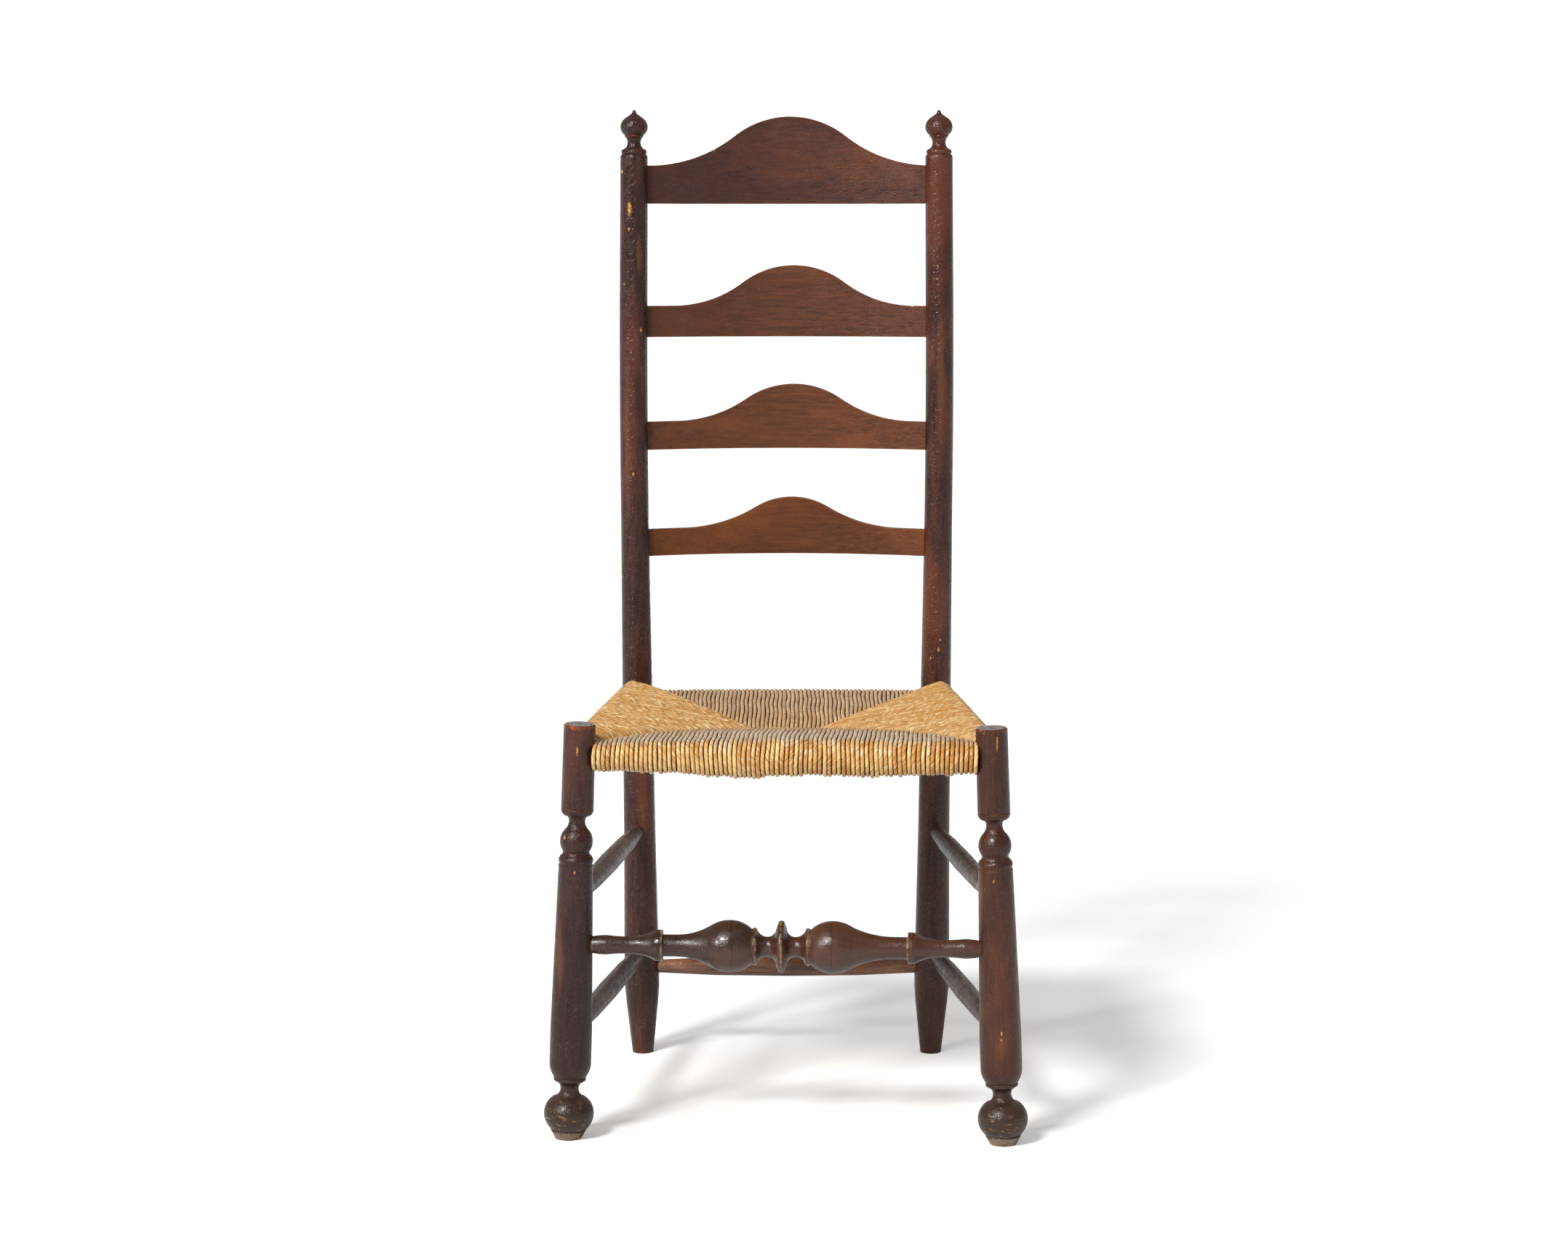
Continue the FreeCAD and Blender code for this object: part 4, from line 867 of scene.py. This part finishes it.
@dataclass
class TurnedFrame:
    """The chair's wood: it stays as the CAD made it and only gets its finishes."""

    left_post_chips: tuple[Chip, ...] = (
        Chip(-0.1758, 0.9640, 0.0022, 0.0100),
        Chip(-0.1764, 0.9400, 0.0012, 0.0022),
        Chip(-0.1842, 1.0037, 0.0015, 0.0026),
        Chip(-0.1633, 0.8281, 0.0014, 0.0026),
        Chip(-0.1725, 0.6665, 0.0015, 0.0022),
        Chip(-0.1820, 0.8790, 0.0010, 0.0014),
    )
    right_post_chips: tuple[Chip, ...] = (
        Chip(0.1717, 0.4675, 0.0014, 0.0030),
        Chip(0.1736, 0.4783, 0.0010, 0.0014),
        Chip(0.1627, 0.4575, 0.0010, 0.0017),
        Chip(0.1693, 0.8996, 0.0009, 0.0013),
        Chip(0.1689, 0.8850, 0.0009, 0.0012),
    )
    left_leg_chips: tuple[Chip, ...] = (
        Chip(-0.2174, 0.4200, 0.0012, 0.0052),
        Chip(-0.2317, 0.3265, 0.0014, 0.0026),
        Chip(-0.2210, 0.2905, 0.0010, 0.0016),
    )
    right_leg_chips: tuple[Chip, ...] = (
        Chip(0.2271, 0.1240, 0.0013, 0.0025),
        Chip(0.2268, 0.1172, 0.0009, 0.0016),
        Chip(0.2180, 0.2860, 0.0009, 0.0022),
        Chip(0.2206, 0.4320, 0.0008, 0.0090),
    )
    top_slat_chips: tuple[Chip, ...] = (Chip(-0.0817, 1.0268, 0.0013, 0.0016),)
    upper_slat_chips: tuple[Chip, ...] = (
        Chip(0.1412, 0.8532, 0.0030, 0.0014),
        Chip(-0.0936, 0.8573, 0.0020, 0.0009),
    )
    left_post_thin: tuple[Chip, ...] = (
        Chip(-0.1630, 0.2900, 0.0075, 0.0600),
        Chip(-0.1790, 0.7000, 0.0045, 0.1300),
        Chip(-0.1650, 0.9100, 0.0050, 0.0300),
    )
    right_post_thin: tuple[Chip, ...] = (
        Chip(0.1740, 0.7700, 0.0070, 0.1200),
        Chip(0.1560, 0.5200, 0.0050, 0.0700),
    )
    left_leg_thin: tuple[Chip, ...] = (
        Chip(-0.2005, 0.3750, 0.0026, 0.0240),
        Chip(-0.2380, 0.2000, 0.0060, 0.0500),
    )
    right_leg_thin: tuple[Chip, ...] = (
        Chip(0.2043, 0.2660, 0.0045, 0.0400),
        Chip(0.2270, 0.1100, 0.0080, 0.0200),
    )

    def finishes(self) -> dict[str, StainedMaple | ShavedMaple]:
        """Return the finish of each wooden node, by the start of its name.

        Returns:
            Finishes, by the start of the names of the nodes that have them.
        """
        return {
            **self.post_finishes(),
            **self.leg_finishes(),
            **self.slat_finishes(),
            "stretcher_front": StainedMaple(
                "stained_maple_front_stretcher", Grain.SIDEWAYS, dark="#2a1814", body="#43291f",
                warm="#6a3f2a", worn="#a08058", warm_share=0.35, dust_share=0.25, crack_share=0.1,
                edge_wear=0.7, roughness=0.22, gloss=0.55, relief=0.0003,
                scored=(-0.0561, 0.0483, -0.1347, -0.1324, 0.1300, 0.1345),
                worn_and_highlit_lines=(-0.1306, -0.0314, -0.0046, 0.0245, 0.1283)),
            "stretcher_rear": StainedMaple(
                "stained_maple_rear_stretcher", Grain.SIDEWAYS, dark="#402920", body="#7f6050",
                warm="#ad7044", dust_share=0.7),
            "rung": StainedMaple(
                "stained_maple_rungs", Grain.FRONT_TO_BACK, body="#574a44", warm="#75604f",
                dust_share=0.6, roughness=0.32, gloss=0.55),
            "seat_rail": ShavedMaple(),
        }

    def post_finishes(self) -> dict[str, StainedMaple]:
        """Return the finishes of the two back posts.

        Returns:
            Finishes, by the start of the names of the nodes that have them.
        """
        post = {
            "grain": Grain.UPRIGHT, "warm_share": 0.42, "dust_share": 0.3, "crack_share": 0.12,
            "edge_wear": 0.35, "roughness": 0.19, "relief": 0.0010}
        return {
            "rear_post_left": StainedMaple(
                "stained_maple_left_post", body="#45221a", warm="#763b22",
                chips=self.left_post_chips, thin_places=self.left_post_thin, **post),
            "rear_post_right": StainedMaple(
                "stained_maple_right_post", body="#472014", warm="#7c3e1f",
                chips=self.right_post_chips, thin_places=self.right_post_thin, **post),
        }

    def leg_finishes(self) -> dict[str, StainedMaple]:
        """Return the finishes of the two front legs.

        Returns:
            Finishes, by the start of the names of the nodes that have them.
        """
        leg = {
            "grain": Grain.UPRIGHT, "worn": "#8f5c34", "warm_share": 0.3, "dust_share": 0.25,
            "crack_share": 0.12, "edge_wear": 0.45, "foot_wear": 0.85}
        return {
            "front_leg_left": StainedMaple(
                "stained_maple_left_leg", dark="#1d0e0f", body="#3a1d1a", warm="#7a3d24",
                chips=self.left_leg_chips, thin_places=self.left_leg_thin,
                top=LegTop(-0.2153, -0.2024), **leg),
            "front_leg_right": StainedMaple(
                "stained_maple_right_leg", dark="#2c1610", body="#4c2616", warm="#78401c",
                chips=self.right_leg_chips, thin_places=self.right_leg_thin,
                top=LegTop(0.2153, -0.2254), **leg),
        }

    def slat_finishes(self) -> dict[str, StainedMaple]:
        """Return the finishes of the four slats, of which the top one is the darkest.

        Returns:
            Finishes, by the start of the names of the nodes that have them.
        """
        slat = {
            "grain": Grain.SIDEWAYS, "warm_share": 0.6, "dust_share": 0.15, "band_share": 0.15,
            "crack_share": 0.08, "edge_wear": 0.95, "patch_size": 0.12, "roughness": 0.30,
            "gloss": 0.28, "relief": 0.0004}
        return {
            # the upper three slats get painted shade, darker towards their left ends
            "slat_top": StainedMaple(
                "stained_maple_top_slat", dark="#372220", body="#573021", warm="#6f3c22",
                end_shade=0.6, chips=self.top_slat_chips, **slat),
            "slat_upper": StainedMaple(
                "stained_maple_upper_slat", dark="#45271c", body="#663821", warm="#7c4626",
                end_shade=0.5, chips=self.upper_slat_chips, **slat),
            "slat_lower": StainedMaple(
                "stained_maple_lower_slat", dark="#4d2a18", body="#6c3c21", warm="#824c26",
                end_shade=0.3, **slat),
            "slat_bottom": StainedMaple(
                "stained_maple_bottom_slat", dark="#4a2713", body="#67381b", warm="#824a1c", **slat),
        }

    def dress(self) -> None:
        """Give every wooden CAD node its finish."""
        for start, finish in self.finishes().items():
            material = finish.build()
            for name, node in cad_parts.items():
                if name.startswith(start):
                    paint(node, material)
            LOG.info("dressed %s", start)


class Side(Enum):
    """The four woven panels of the seat, by the rail that each wraps."""

    FRONT = "front"
    RIGHT = "right"
    REAR = "rear"
    LEFT = "left"


@dataclass
class Roll:
    """How a panel rolls over its rail: metres from the rail's centre line, along the rail.

    Each size is given at the rail's first end, its middle and its last end.
    """

    crest: tuple[float, float, float]
    bottom: tuple[float, float, float]
    overhang: tuple[float, float, float]

    @staticmethod
    def at(sizes: tuple[float, float, float], share: float) -> float:
        """Return a size at a place on the rail, on the parabola through its three values.

        Args:
            sizes: The size at the rail's first end, its middle and its last end.
            share: The place, from 0 at the first end to 1 at the last.

        Returns:
            The size there.
        """
        first, middle, last = sizes
        return (
            first * (1 - 2 * share) * (1 - share)
            + 4 * middle * share * (1 - share)
            + last * share * (2 * share - 1))


@dataclass
class Lump:
    """A place along a rail where the cords hang lower under it, in metres."""

    place: float
    width: float
    depth: float


@dataclass
class CordMesh:
    """The growing mesh of many cords, with the map, tone and rub of each."""

    sides: int = 8
    vertices: list[Vector] = field(default_factory=list)
    faces: list[tuple[int, ...]] = field(default_factory=list)
    maps: list[tuple[float, float]] = field(default_factory=list)
    tones: list[float] = field(default_factory=list)
    rubs: list[float] = field(default_factory=list)

    def lay(
        self, path: list[Vector], rubs: list[float], radius: float, tone: float, side: Vector, hand: int
    ) -> None:
        """Add one cord as a closed tube along its path.

        Args:
            path: The cord's centre line.
            rubs: How far the cord is rubbed at each point of the path.
            radius: The cord's radius.
            tone: The cord's own tone, from 0 to 1.
            side: The direction across the cord that stays level along it.
            hand: 1 or -1, which way the cord is twisted.
        """
        start = len(self.vertices)
        travelled = [0.0]
        for before, after in zip(path, path[1:]):
            travelled.append(travelled[-1] + (after - before).length)
        for index, point in enumerate(path):
            before, after = path[max(index - 1, 0)], path[min(index + 1, len(path) - 1)]
            outward = side.cross((after - before).normalized()).normalized()
            for corner in range(self.sides):
                angle = 2 * math.pi * corner / self.sides
                self.vertices.append(point + (side * math.cos(angle) + outward * math.sin(angle)) * radius)
                self.tones.append(tone)
                self.rubs.append(rubs[index])
        for index in range(len(path) - 1):
            ring, beyond = start + index * self.sides, start + (index + 1) * self.sides
            near, far = travelled[index], travelled[index + 1]
            for corner in range(self.sides):
                other = (corner + 1) % self.sides
                self.faces.append((ring + corner, ring + other, beyond + other, beyond + corner))
                low, high = hand * corner / self.sides, hand * (corner + 1) / self.sides
                self.maps.extend([(near, low), (near, high), (far, high), (far, low)])
        last = start + (len(path) - 1) * self.sides
        self.faces.append(tuple(start + corner for corner in reversed(range(self.sides))))
        self.faces.append(tuple(last + corner for corner in range(self.sides)))
        self.maps.extend([(0.0, 0.0)] * self.sides)
        self.maps.extend([(travelled[-1], 0.0)] * self.sides)

    def finish(self, name: str) -> bpy.types.Object:
        """Make the object with its cord map and its tone and rub attributes.

        Args:
            name: The object's name.

        Returns:
            The object, linked to the scene.
        """
        mesh = bpy.data.meshes.new(name)
        mesh.from_pydata(self.vertices, [], self.faces)
        layer = mesh.uv_layers.new(name="cord")
        layer.data.foreach_set("uv", [number for place in self.maps for number in place])
        for attribute, values in (("cord_tone", self.tones), ("cord_rub", self.rubs)):
            mesh.attributes.new(attribute, "FLOAT", "POINT").data.foreach_set("value", values)
        mesh.polygons.foreach_set("use_smooth", [True] * len(mesh.polygons))
        mesh.update()
        piece = bpy.data.objects.new(name, mesh)
        bpy.context.scene.collection.objects.link(piece)
        return piece


def ramp(value: float, start: float, length: float) -> float:
    """Return 0 up to a start and 1 from a length beyond it, with a straight rise between.

    Args:
        value: Where the ramp is read.
        start: Where it begins to rise.
        length: How far it takes to reach 1.

    Returns:
        The ramp's height.
    """
    return min(max((value - start) / length, 0.0), 1.0)


@dataclass
class RushPanel:
    """One panel of cords, each laid from its mitred seam over the rail and back below.

    The fields from thickness on say how unevenly the cords are laid and how they are rubbed.
    """

    side: Side
    first: Vector
    last: Vector
    first_seam: Vector
    last_seam: Vector
    roll: Roll
    cords: int
    end_inset: float
    finish: TwistedRush
    middle_top: float
    neighbour_crest: float
    plumpness: float = 0.52
    sag: float = 2.0
    overlap: float = 0.0
    dive: float = 0.0045
    dive_length: float = 0.008
    dive_steps: int = 4
    top_step: float = 0.012
    quarter_steps: int = 9
    below_step: float = 0.035
    middle_thickness: float = 0.014
    lumps: tuple[Lump, ...] = ()
    skip_last: int = 0
    hand: int = 0
    seed: int = 1
    thickness: tuple[float, float] = (0.92, 1.05)
    most_sunk: float = 0.0006
    droops: tuple[float, ...] = (0.0, 0.0, 0.0003, 0.0008, 0.0016)
    sway: tuple[float, float] = (0.0003, 0.0008)
    sway_phase: float = 0.6
    sway_inward: float = 75.0
    sway_upward: float = 110.0
    sway_along: float = 34.0
    browning: float = 0.3
    rub: float = 0.0
    rub_start: float = -0.015
    rub_rise: float = 0.020
    rub_end: float = 0.105
    rub_fade: float = 0.085
    rub_scatter: float = 0.006
    rub_below: float = 0.25
    rub_below_ramp: tuple[float, float] = (0.008, 0.012)
    first_fresh: tuple[float, float] = (0.002, 0.025)
    last_fresh: tuple[float, float] = (0.010, 0.050)

    def direction(self) -> Vector:
        """Return the unit vector along the rail."""
        return (self.last - self.first).normalized()

    def inward(self) -> Vector:
        """Return the unit vector from the rail to the middle of the seat."""
        return UP.cross(self.direction())

    def span(self) -> float:
        """Return the rail's length between its corners."""
        return (self.last - self.first).length

    def seam_depth(self, place: float) -> tuple[float, float]:
        """Return how far inward the panel reaches at a place along its rail.

        Args:
            place: Metres along the rail from its first corner.

        Returns:
            Metres inward from the rail, and the panel's full reach there.
        """
        near = (self.first_seam - self.first).dot(self.direction())
        far = (self.last_seam - self.first).dot(self.direction())
        near_reach = (self.first_seam - self.first).dot(self.inward())
        far_reach = (self.last_seam - self.first).dot(self.inward())
        if place < near:
            return near_reach * place / near, near_reach
        if place > far:
            return far_reach * (self.span() - place) / (self.span() - far), far_reach
        between = (place - near) / max(far - near, SAME_PLACE)
        reach = near_reach + (far_reach - near_reach) * between
        return reach, reach

    def hang(self, place: float) -> float:
        """Return how much lower than the even roll the cords hang at a place."""
        return sum(lump.depth * math.exp(-((place - lump.place) / lump.width) ** 2) for lump in self.lumps)

    def profile(self, place: float, radius: float, droop: float) -> list[tuple[float, float]]:
        """Return the centre line of one cord as points inward of and above the rail.

        Args:
            place: Metres along the rail from its first corner.
            radius: The cord's own radius, kept inside the panel's outer surface.
            droop: How much lower this cord hangs under the rail than the even roll.

        Returns:
            Points from the top seam, round the nose, to the seam below.
        """
        share = (place - self.end_inset) / (self.span() - 2 * self.end_inset)
        crest = self.roll.at(self.roll.crest, share) - radius
        bottom = self.roll.at(self.roll.bottom, share) - radius + droop
        nose = self.roll.at(self.roll.overhang, share) - radius
        top_line = self.middle_top - self.first.z - radius
        seam, reach = self.seam_depth(place)
        depth = seam + self.overlap
        neighbour = self.neighbour_crest - self.first.z - radius
        neighbour -= (neighbour - top_line) * (seam / reach) ** 2
        own = crest - (crest - top_line) * min(depth / reach, 1.0) ** self.sag
        fall = max(own - neighbour, 0.0) + self.dive
        flat = depth - self.dive_length
        steps = max(3, round(flat / self.top_step))
        insets = [self.dive_length * step / self.dive_steps for step in range(self.dive_steps)]
        insets += [self.dive_length + flat * step / steps for step in range(steps + 1)]
        points: list[tuple[float, float]] = []
        for inset in insets:
            inward = depth - inset
            if inward < 0:
                break
            height = crest - (crest - top_line) * min(inward / reach, 1.0) ** self.sag
            into_seam = max(0.0, 1 - inset / self.dive_length)
            points.append((inward, height - fall * into_seam ** 2))
        turns = [math.radians(90 * step / self.quarter_steps) for step in range(self.quarter_steps)]
        points += [(-nose * math.sin(angle), crest * math.cos(angle)) for angle in turns[1:]]
        points += [(-nose * math.cos(angle), -bottom * math.sin(angle)) for angle in turns]
        low_line = top_line + 2 * radius - self.middle_thickness
        below = max(2, round(depth / self.below_step))
        for step in range(below + 1):
            inward = depth * step / below
            points.append((inward, -bottom + (bottom + low_line) * inward / reach))
        return points

    def rubbed(self, inward: float, height: float) -> float:
        """Return how dull a cord is at a point of its path, from the sitter above or from age below.

        Args:
            inward: Metres inward of the rail.
            height: Metres above the rail.

        Returns:
            How dull it is, from 0 to the panel's rub.
        """
        if height < 0:
            return self.rub_below * self.rub * ramp(-height, *self.rub_below_ramp)
        before = ramp(inward, self.rub_start, self.rub_rise)
        after = ramp(self.rub_end, inward, self.rub_fade)
        return self.rub * before * after

    def used(self, place: float) -> float:
        """Return how far a cord is in use: those at the ends of the panel stay fresh, by the uprights."""
        from_last = self.span() - place
        return min(ramp(place, *self.first_fresh), ramp(from_last, *self.last_fresh))

    def build(self) -> bpy.types.Object:
        """Lay the cords side by side and join them in one mesh.

        Returns:
            The panel's object, with its cord map and attributes.
        """
        dice = random.Random(self.seed)
        direction, inward = self.direction(), self.inward()
        pitch = (self.span() - 2 * self.end_inset) / self.cords
        mesh = CordMesh()
        for number in range(self.cords - self.skip_last):
            place = self.end_inset + (number + 0.5) * pitch
            radius = pitch * self.plumpness * dice.uniform(*self.thickness)
            sink = dice.uniform(0.0, self.most_sunk)
            droop = self.hang(place) + dice.choice(self.droops)
            phase = dice.uniform(0.0, self.sway_phase)
            sway = dice.uniform(*self.sway)
            spread = dice.uniform(-self.rub_scatter, self.rub_scatter)
            use = self.used(place)
            path, rubs = [], []
            for x, y in self.profile(place, radius, droop):
                wave = x * self.sway_inward + y * self.sway_upward + place * self.sway_along + phase
                aside = sway * math.sin(wave)
                lift = -sink if y > 0 else sink
                path.append(self.first + direction * (place + aside) + inward * x + UP * (y + lift))
                rubs.append(use * self.rubbed(x + spread, y))
            hand = self.hand or (-1 if place < self.span() / 2 else 1)
            # each cord's own tone, with the cords paler towards the rail's first end
            tone = dice.random() + self.browning * (1 - place / self.span() - dice.random())
            mesh.lay(path, rubs, radius, min(max(tone, 0.0), 1.0), direction, hand)
        piece = mesh.finish(f"rush_{self.side.value}")
        paint(piece, self.finish.build())
        return piece


@dataclass
class PackingPad:
    """The pad of rush ends that fills one panel, crowned like the layers round it, in metres."""

    panel: RushPanel
    seat_middle: float
    reach: float = 0.82
    middle_drop: float = 0.007
    rail_drop: float = 0.001
    rail_half_thickness: float = 0.0045
    middle_half_thickness: float = 0.0014
    merge_distance: float = 0.0001
    cuts: int = 7
    smoothing: float = 0.5
    smoothing_rounds: int = 3

    def rim(self) -> list[Vector]:
        """Return the pad's corners in plan.

        Returns:
            Two corners at the rail, then two at the seat's middle.
        """
        panel = self.panel
        corners = [panel.first, panel.last, panel.last_seam, panel.first_seam]
        centre = sum(corners, Vector()) / 4
        return [centre + (corner - centre) * self.reach for corner in corners]

    def build(self) -> bpy.types.Object:
        """Model the pad from a cube: its corners are moved, then it is cut finer and smoothed.

        Returns:
            The pad.
        """
        bpy.ops.object.select_all(action="DESELECT")
        bpy.ops.mesh.primitive_cube_add(size=2.0)
        pad = bpy.context.object
        pad.name = f"packing_{self.panel.side.value}"
        rim = self.rim()
        bpy.ops.object.mode_set(mode="EDIT")
        mesh = bmesh.from_edit_mesh(pad.data)
        for vertex in mesh.verts:
            at_rail = vertex.co.y < 0
            number = (0 if vertex.co.x < 0 else 1) if at_rail else (3 if vertex.co.x < 0 else 2)
            level = self.panel.first.z - self.rail_drop if at_rail else self.seat_middle - self.middle_drop
            thickness = self.rail_half_thickness if at_rail else self.middle_half_thickness
            rise = thickness if vertex.co.z > 0 else -thickness
            vertex.co = Vector((rim[number].x, rim[number].y, level + rise))
        bmesh.update_edit_mesh(pad.data)
        bpy.ops.mesh.select_all(action="SELECT")
        bpy.ops.mesh.remove_doubles(threshold=self.merge_distance)
        bpy.ops.mesh.subdivide(number_cuts=self.cuts)
        bpy.ops.mesh.vertices_smooth(factor=self.smoothing, repeat=self.smoothing_rounds)
        bpy.ops.mesh.normals_make_consistent(inside=False)
        bpy.ops.object.mode_set(mode="OBJECT")
        bpy.ops.object.shade_smooth()
        return pad


@dataclass
class RushSeat:
    """The whole seat: four panels of cords over packed rush ends."""

    front_left: tuple[float, float] = (-0.21635, -0.20240)
    front_right: tuple[float, float] = (0.21635, -0.22540)
    rear_left: tuple[float, float] = (-0.16911, 0.18610)
    rear_right: tuple[float, float] = (0.16911, 0.18610)
    seam_x: float = 0.033
    seam_y: float = -0.0169
    front_height: float = 0.4163
    side_height: float = 0.4178
    rear_height: float = 0.4043
    middle_height: float = 0.4075
    upright_radius: float = 0.0172
    end_inset: float = 0.0026
    rear_crest: float = 0.4197
    side_crest: float = 0.4340
    front_lumps: tuple[Lump, ...] = (
        Lump(0.128, 0.016, 0.0014),
        Lump(0.172, 0.036, 0.0038),
        Lump(0.187, 0.005, 0.0022),
        Lump(0.299, 0.030, 0.0018),
    )

    def panel(self, side: Side) -> RushPanel:
        """Return one panel with its corners, roll and finish.

        Args:
            side: Which panel.

        Returns:
            The panel, ready to build.
        """
        name = f"twisted_rush_{side.value}"
        golden = TwistedRush(name, pale="#f0c781", body="#c78842", brown="#7e4e1c")
        plain = TwistedRush(
            name, pale="#e2b87a", body="#c68d49", brown="#7f5122", gap_shade="#7a4f26", gap_shade_share=0.42,
            groove_shade_share=0.30, fleck_and_glint_share=1.0, relief=0.0006, ply_length=0.034, wander=0.2,
            fleck_and_glint_length=0.042, fibre_length=0.075, fleck_and_glint_width=0.080, fleck_and_glint_from=0.59, roughness=0.33)
        dull = TwistedRush(
            name, pale="#e8bd84", body="#cb935a", brown="#74502e", rubbed="#f2d3a8", rubbed_dark="#c39c6f")
        wide, narrow = (0.0184, 0.0195, 0.0184), (0.0162, 0.0150, 0.0162)
        low = (0.0154, 0.0185, 0.0154)
        sides = {
            "finish": plain, "neighbour_crest": self.rear_crest, "plumpness": 0.60, "overlap": 0.004,
            "dive": 0.0012, "dive_length": 0.028}
        if side is Side.FRONT:
            return self.laid(
                side, self.front_left, self.front_right, self.front_height,
                roll=Roll((0.0098, 0.0165, 0.0148), (0.0202, 0.0229, 0.0202), wide),
                cords=82, finish=golden, neighbour_crest=self.side_crest, rub=1.0, browning=0.6,
                lumps=self.front_lumps, seed=11)
        if side is Side.REAR:
            return self.laid(
                side, self.rear_right, self.rear_left, self.rear_height,
                roll=Roll((0.0148, 0.0160, 0.0148), (0.0154, 0.0180, 0.0154), wide),
                cords=66, finish=dull, neighbour_crest=self.side_crest, rub=0.32, rub_end=0.17, seed=12)
        if side is Side.RIGHT:
            return self.laid(
                side, self.front_right, self.rear_right, self.side_height,
                roll=Roll((0.0145, 0.0170, 0.0145), low, narrow),
                cords=80, sag=1.1, hand=-1, seed=13, **sides)
        return self.laid(
            side, self.rear_left, self.front_left, self.side_height,
            roll=Roll((0.0152, 0.0170, 0.0145), low, narrow),
            cords=76, sag=1.6, skip_last=2, hand=1, seed=14, **sides)

    def laid(
        self,
        side: Side,
        first: tuple[float, float],
        last: tuple[float, float],
        height: float,
        **details: object,
    ) -> RushPanel:
        """Return a panel from its two rail corners.

        Args:
            side: Which panel.
            first: The rail's first corner, in plan.
            last: The rail's last corner, in plan.
            height: The height of the rail.
            details: Other fields of the panel.

        Returns:
            The panel.
        """
        seams = [Vector((math.copysign(self.seam_x, x), self.seam_y, height)) for x, _ in (first, last)]
        return RushPanel(
            side=side, first=Vector((*first, height)), last=Vector((*last, height)), first_seam=seams[0],
            last_seam=seams[1], end_inset=self.upright_radius - self.end_inset,
            middle_top=self.middle_height, **details)

    def build(self) -> None:
        """Build the four panels and the packing, in place of the plain solids."""
        packed = PackedRush().build()
        for side in Side:
            panel = self.panel(side)
            cords = panel.build()
            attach(cords, "root")
            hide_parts("rush_seat")
            LOG.info("laid the %s panel: %d faces", side.value, len(cords.data.polygons))
            pad = PackingPad(panel, self.middle_height).build()
            paint(pad, packed)
            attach(pad, "root")
            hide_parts(f"stuffing_{side.value}")
            LOG.info("packed the %s panel", side.value)


@dataclass
class SoftLamp:
    """A distant soft lamp: the way its light travels, its strength and its size in degrees."""

    name: str
    travel: tuple[float, float, float]
    strength: float
    spread: float

    def build(self) -> None:
        """Add the lamp to the scene."""
        light = bpy.data.lights.new(self.name, "SUN")
        light.energy = self.strength
        light.angle = math.radians(self.spread)
        lamp = bpy.data.objects.new(self.name, light)
        bpy.context.scene.collection.objects.link(lamp)
        lamp.rotation_euler = Vector(self.travel).to_track_quat("-Z", "Y").to_euler()


@dataclass
class Studio:
    """A white floor, two soft lamps from the front left, a pale sky and the camera."""

    camera_place: tuple[float, float, float] = (0.0210, -4.81775, 1.2337)
    camera_yaw: float = 0.270
    camera_pitch: float = 8.450
    camera_roll: float = 0.031
    focal_pixels: float = 6140.0
    picture_width: int = 2156
    film_width: float = 36.0
    farthest_seen: float = 500.0
    floor_size: float = 400.0
    sky_strength: float = 0.36
    key: SoftLamp = field(default_factory=lambda: SoftLamp("key_lamp", (0.394, 0.632, -0.669), 2.5, 12.0))
    side: SoftLamp = field(default_factory=lambda: SoftLamp("side_lamp", (0.656, 0.590, -0.400), 0.85, 8.0))

    def build(self) -> None:
        """Make the floor, the lights and the camera."""
        self.make_floor()
        self.make_sky()
        self.key.build()
        self.side.build()
        self.make_camera()
        LOG.info("studio ready")

    def make_floor(self) -> None:
        """Lay a wide sheet of white paper on the ground."""
        bpy.ops.object.select_all(action="DESELECT")
        bpy.ops.mesh.primitive_plane_add(size=self.floor_size, location=(0, 0, 0))
        floor = bpy.context.object
        floor.name = "floor"
        paint(floor, StudioPaper().build())

    def make_sky(self) -> None:
        """Light the room evenly, and show plain white to the camera."""
        world = bpy.data.worlds.new("studio_sky")
        bpy.context.scene.world = world
        world.use_nodes = True
        tree = world.node_tree
        tree.nodes.clear()
        seen = add_node(tree, "ShaderNodeLightPath")
        strength = add_node(tree, "ShaderNodeMapRange", {}, {
            "Value": seen.outputs["Is Camera Ray"], "To Min": self.sky_strength, "To Max": 1.0})
        sky = add_node(tree, "ShaderNodeBackground", {}, {
            "Color": linear("#ffffff"), "Strength": strength.outputs[0]})
        add_node(tree, "ShaderNodeOutputWorld", {}, {"Surface": sky.outputs[0]})

    def make_camera(self) -> None:
        """Put the camera where the photograph was taken from."""
        lens = bpy.data.cameras.new("camera")
        lens.sensor_width = self.film_width
        lens.lens = self.focal_pixels / self.picture_width * self.film_width
        lens.clip_end = self.farthest_seen
        camera = bpy.data.objects.new("camera", lens)
        bpy.context.scene.collection.objects.link(camera)
        camera.location = self.camera_place
        pitch = math.radians(90 - self.camera_pitch)
        camera.rotation_euler = (pitch, math.radians(self.camera_roll), math.radians(self.camera_yaw))
        bpy.context.scene.camera = camera
        bpy.context.scene.view_settings.view_transform = "Standard"


def main() -> None:
    """Build the studio and the chair, piece by piece."""
    logging.basicConfig(level=logging.INFO, format="%(name)s: %(message)s")
    Studio().build()
    TurnedFrame().dress()
    RushSeat().build()


if __name__ == "__main__":
    main()
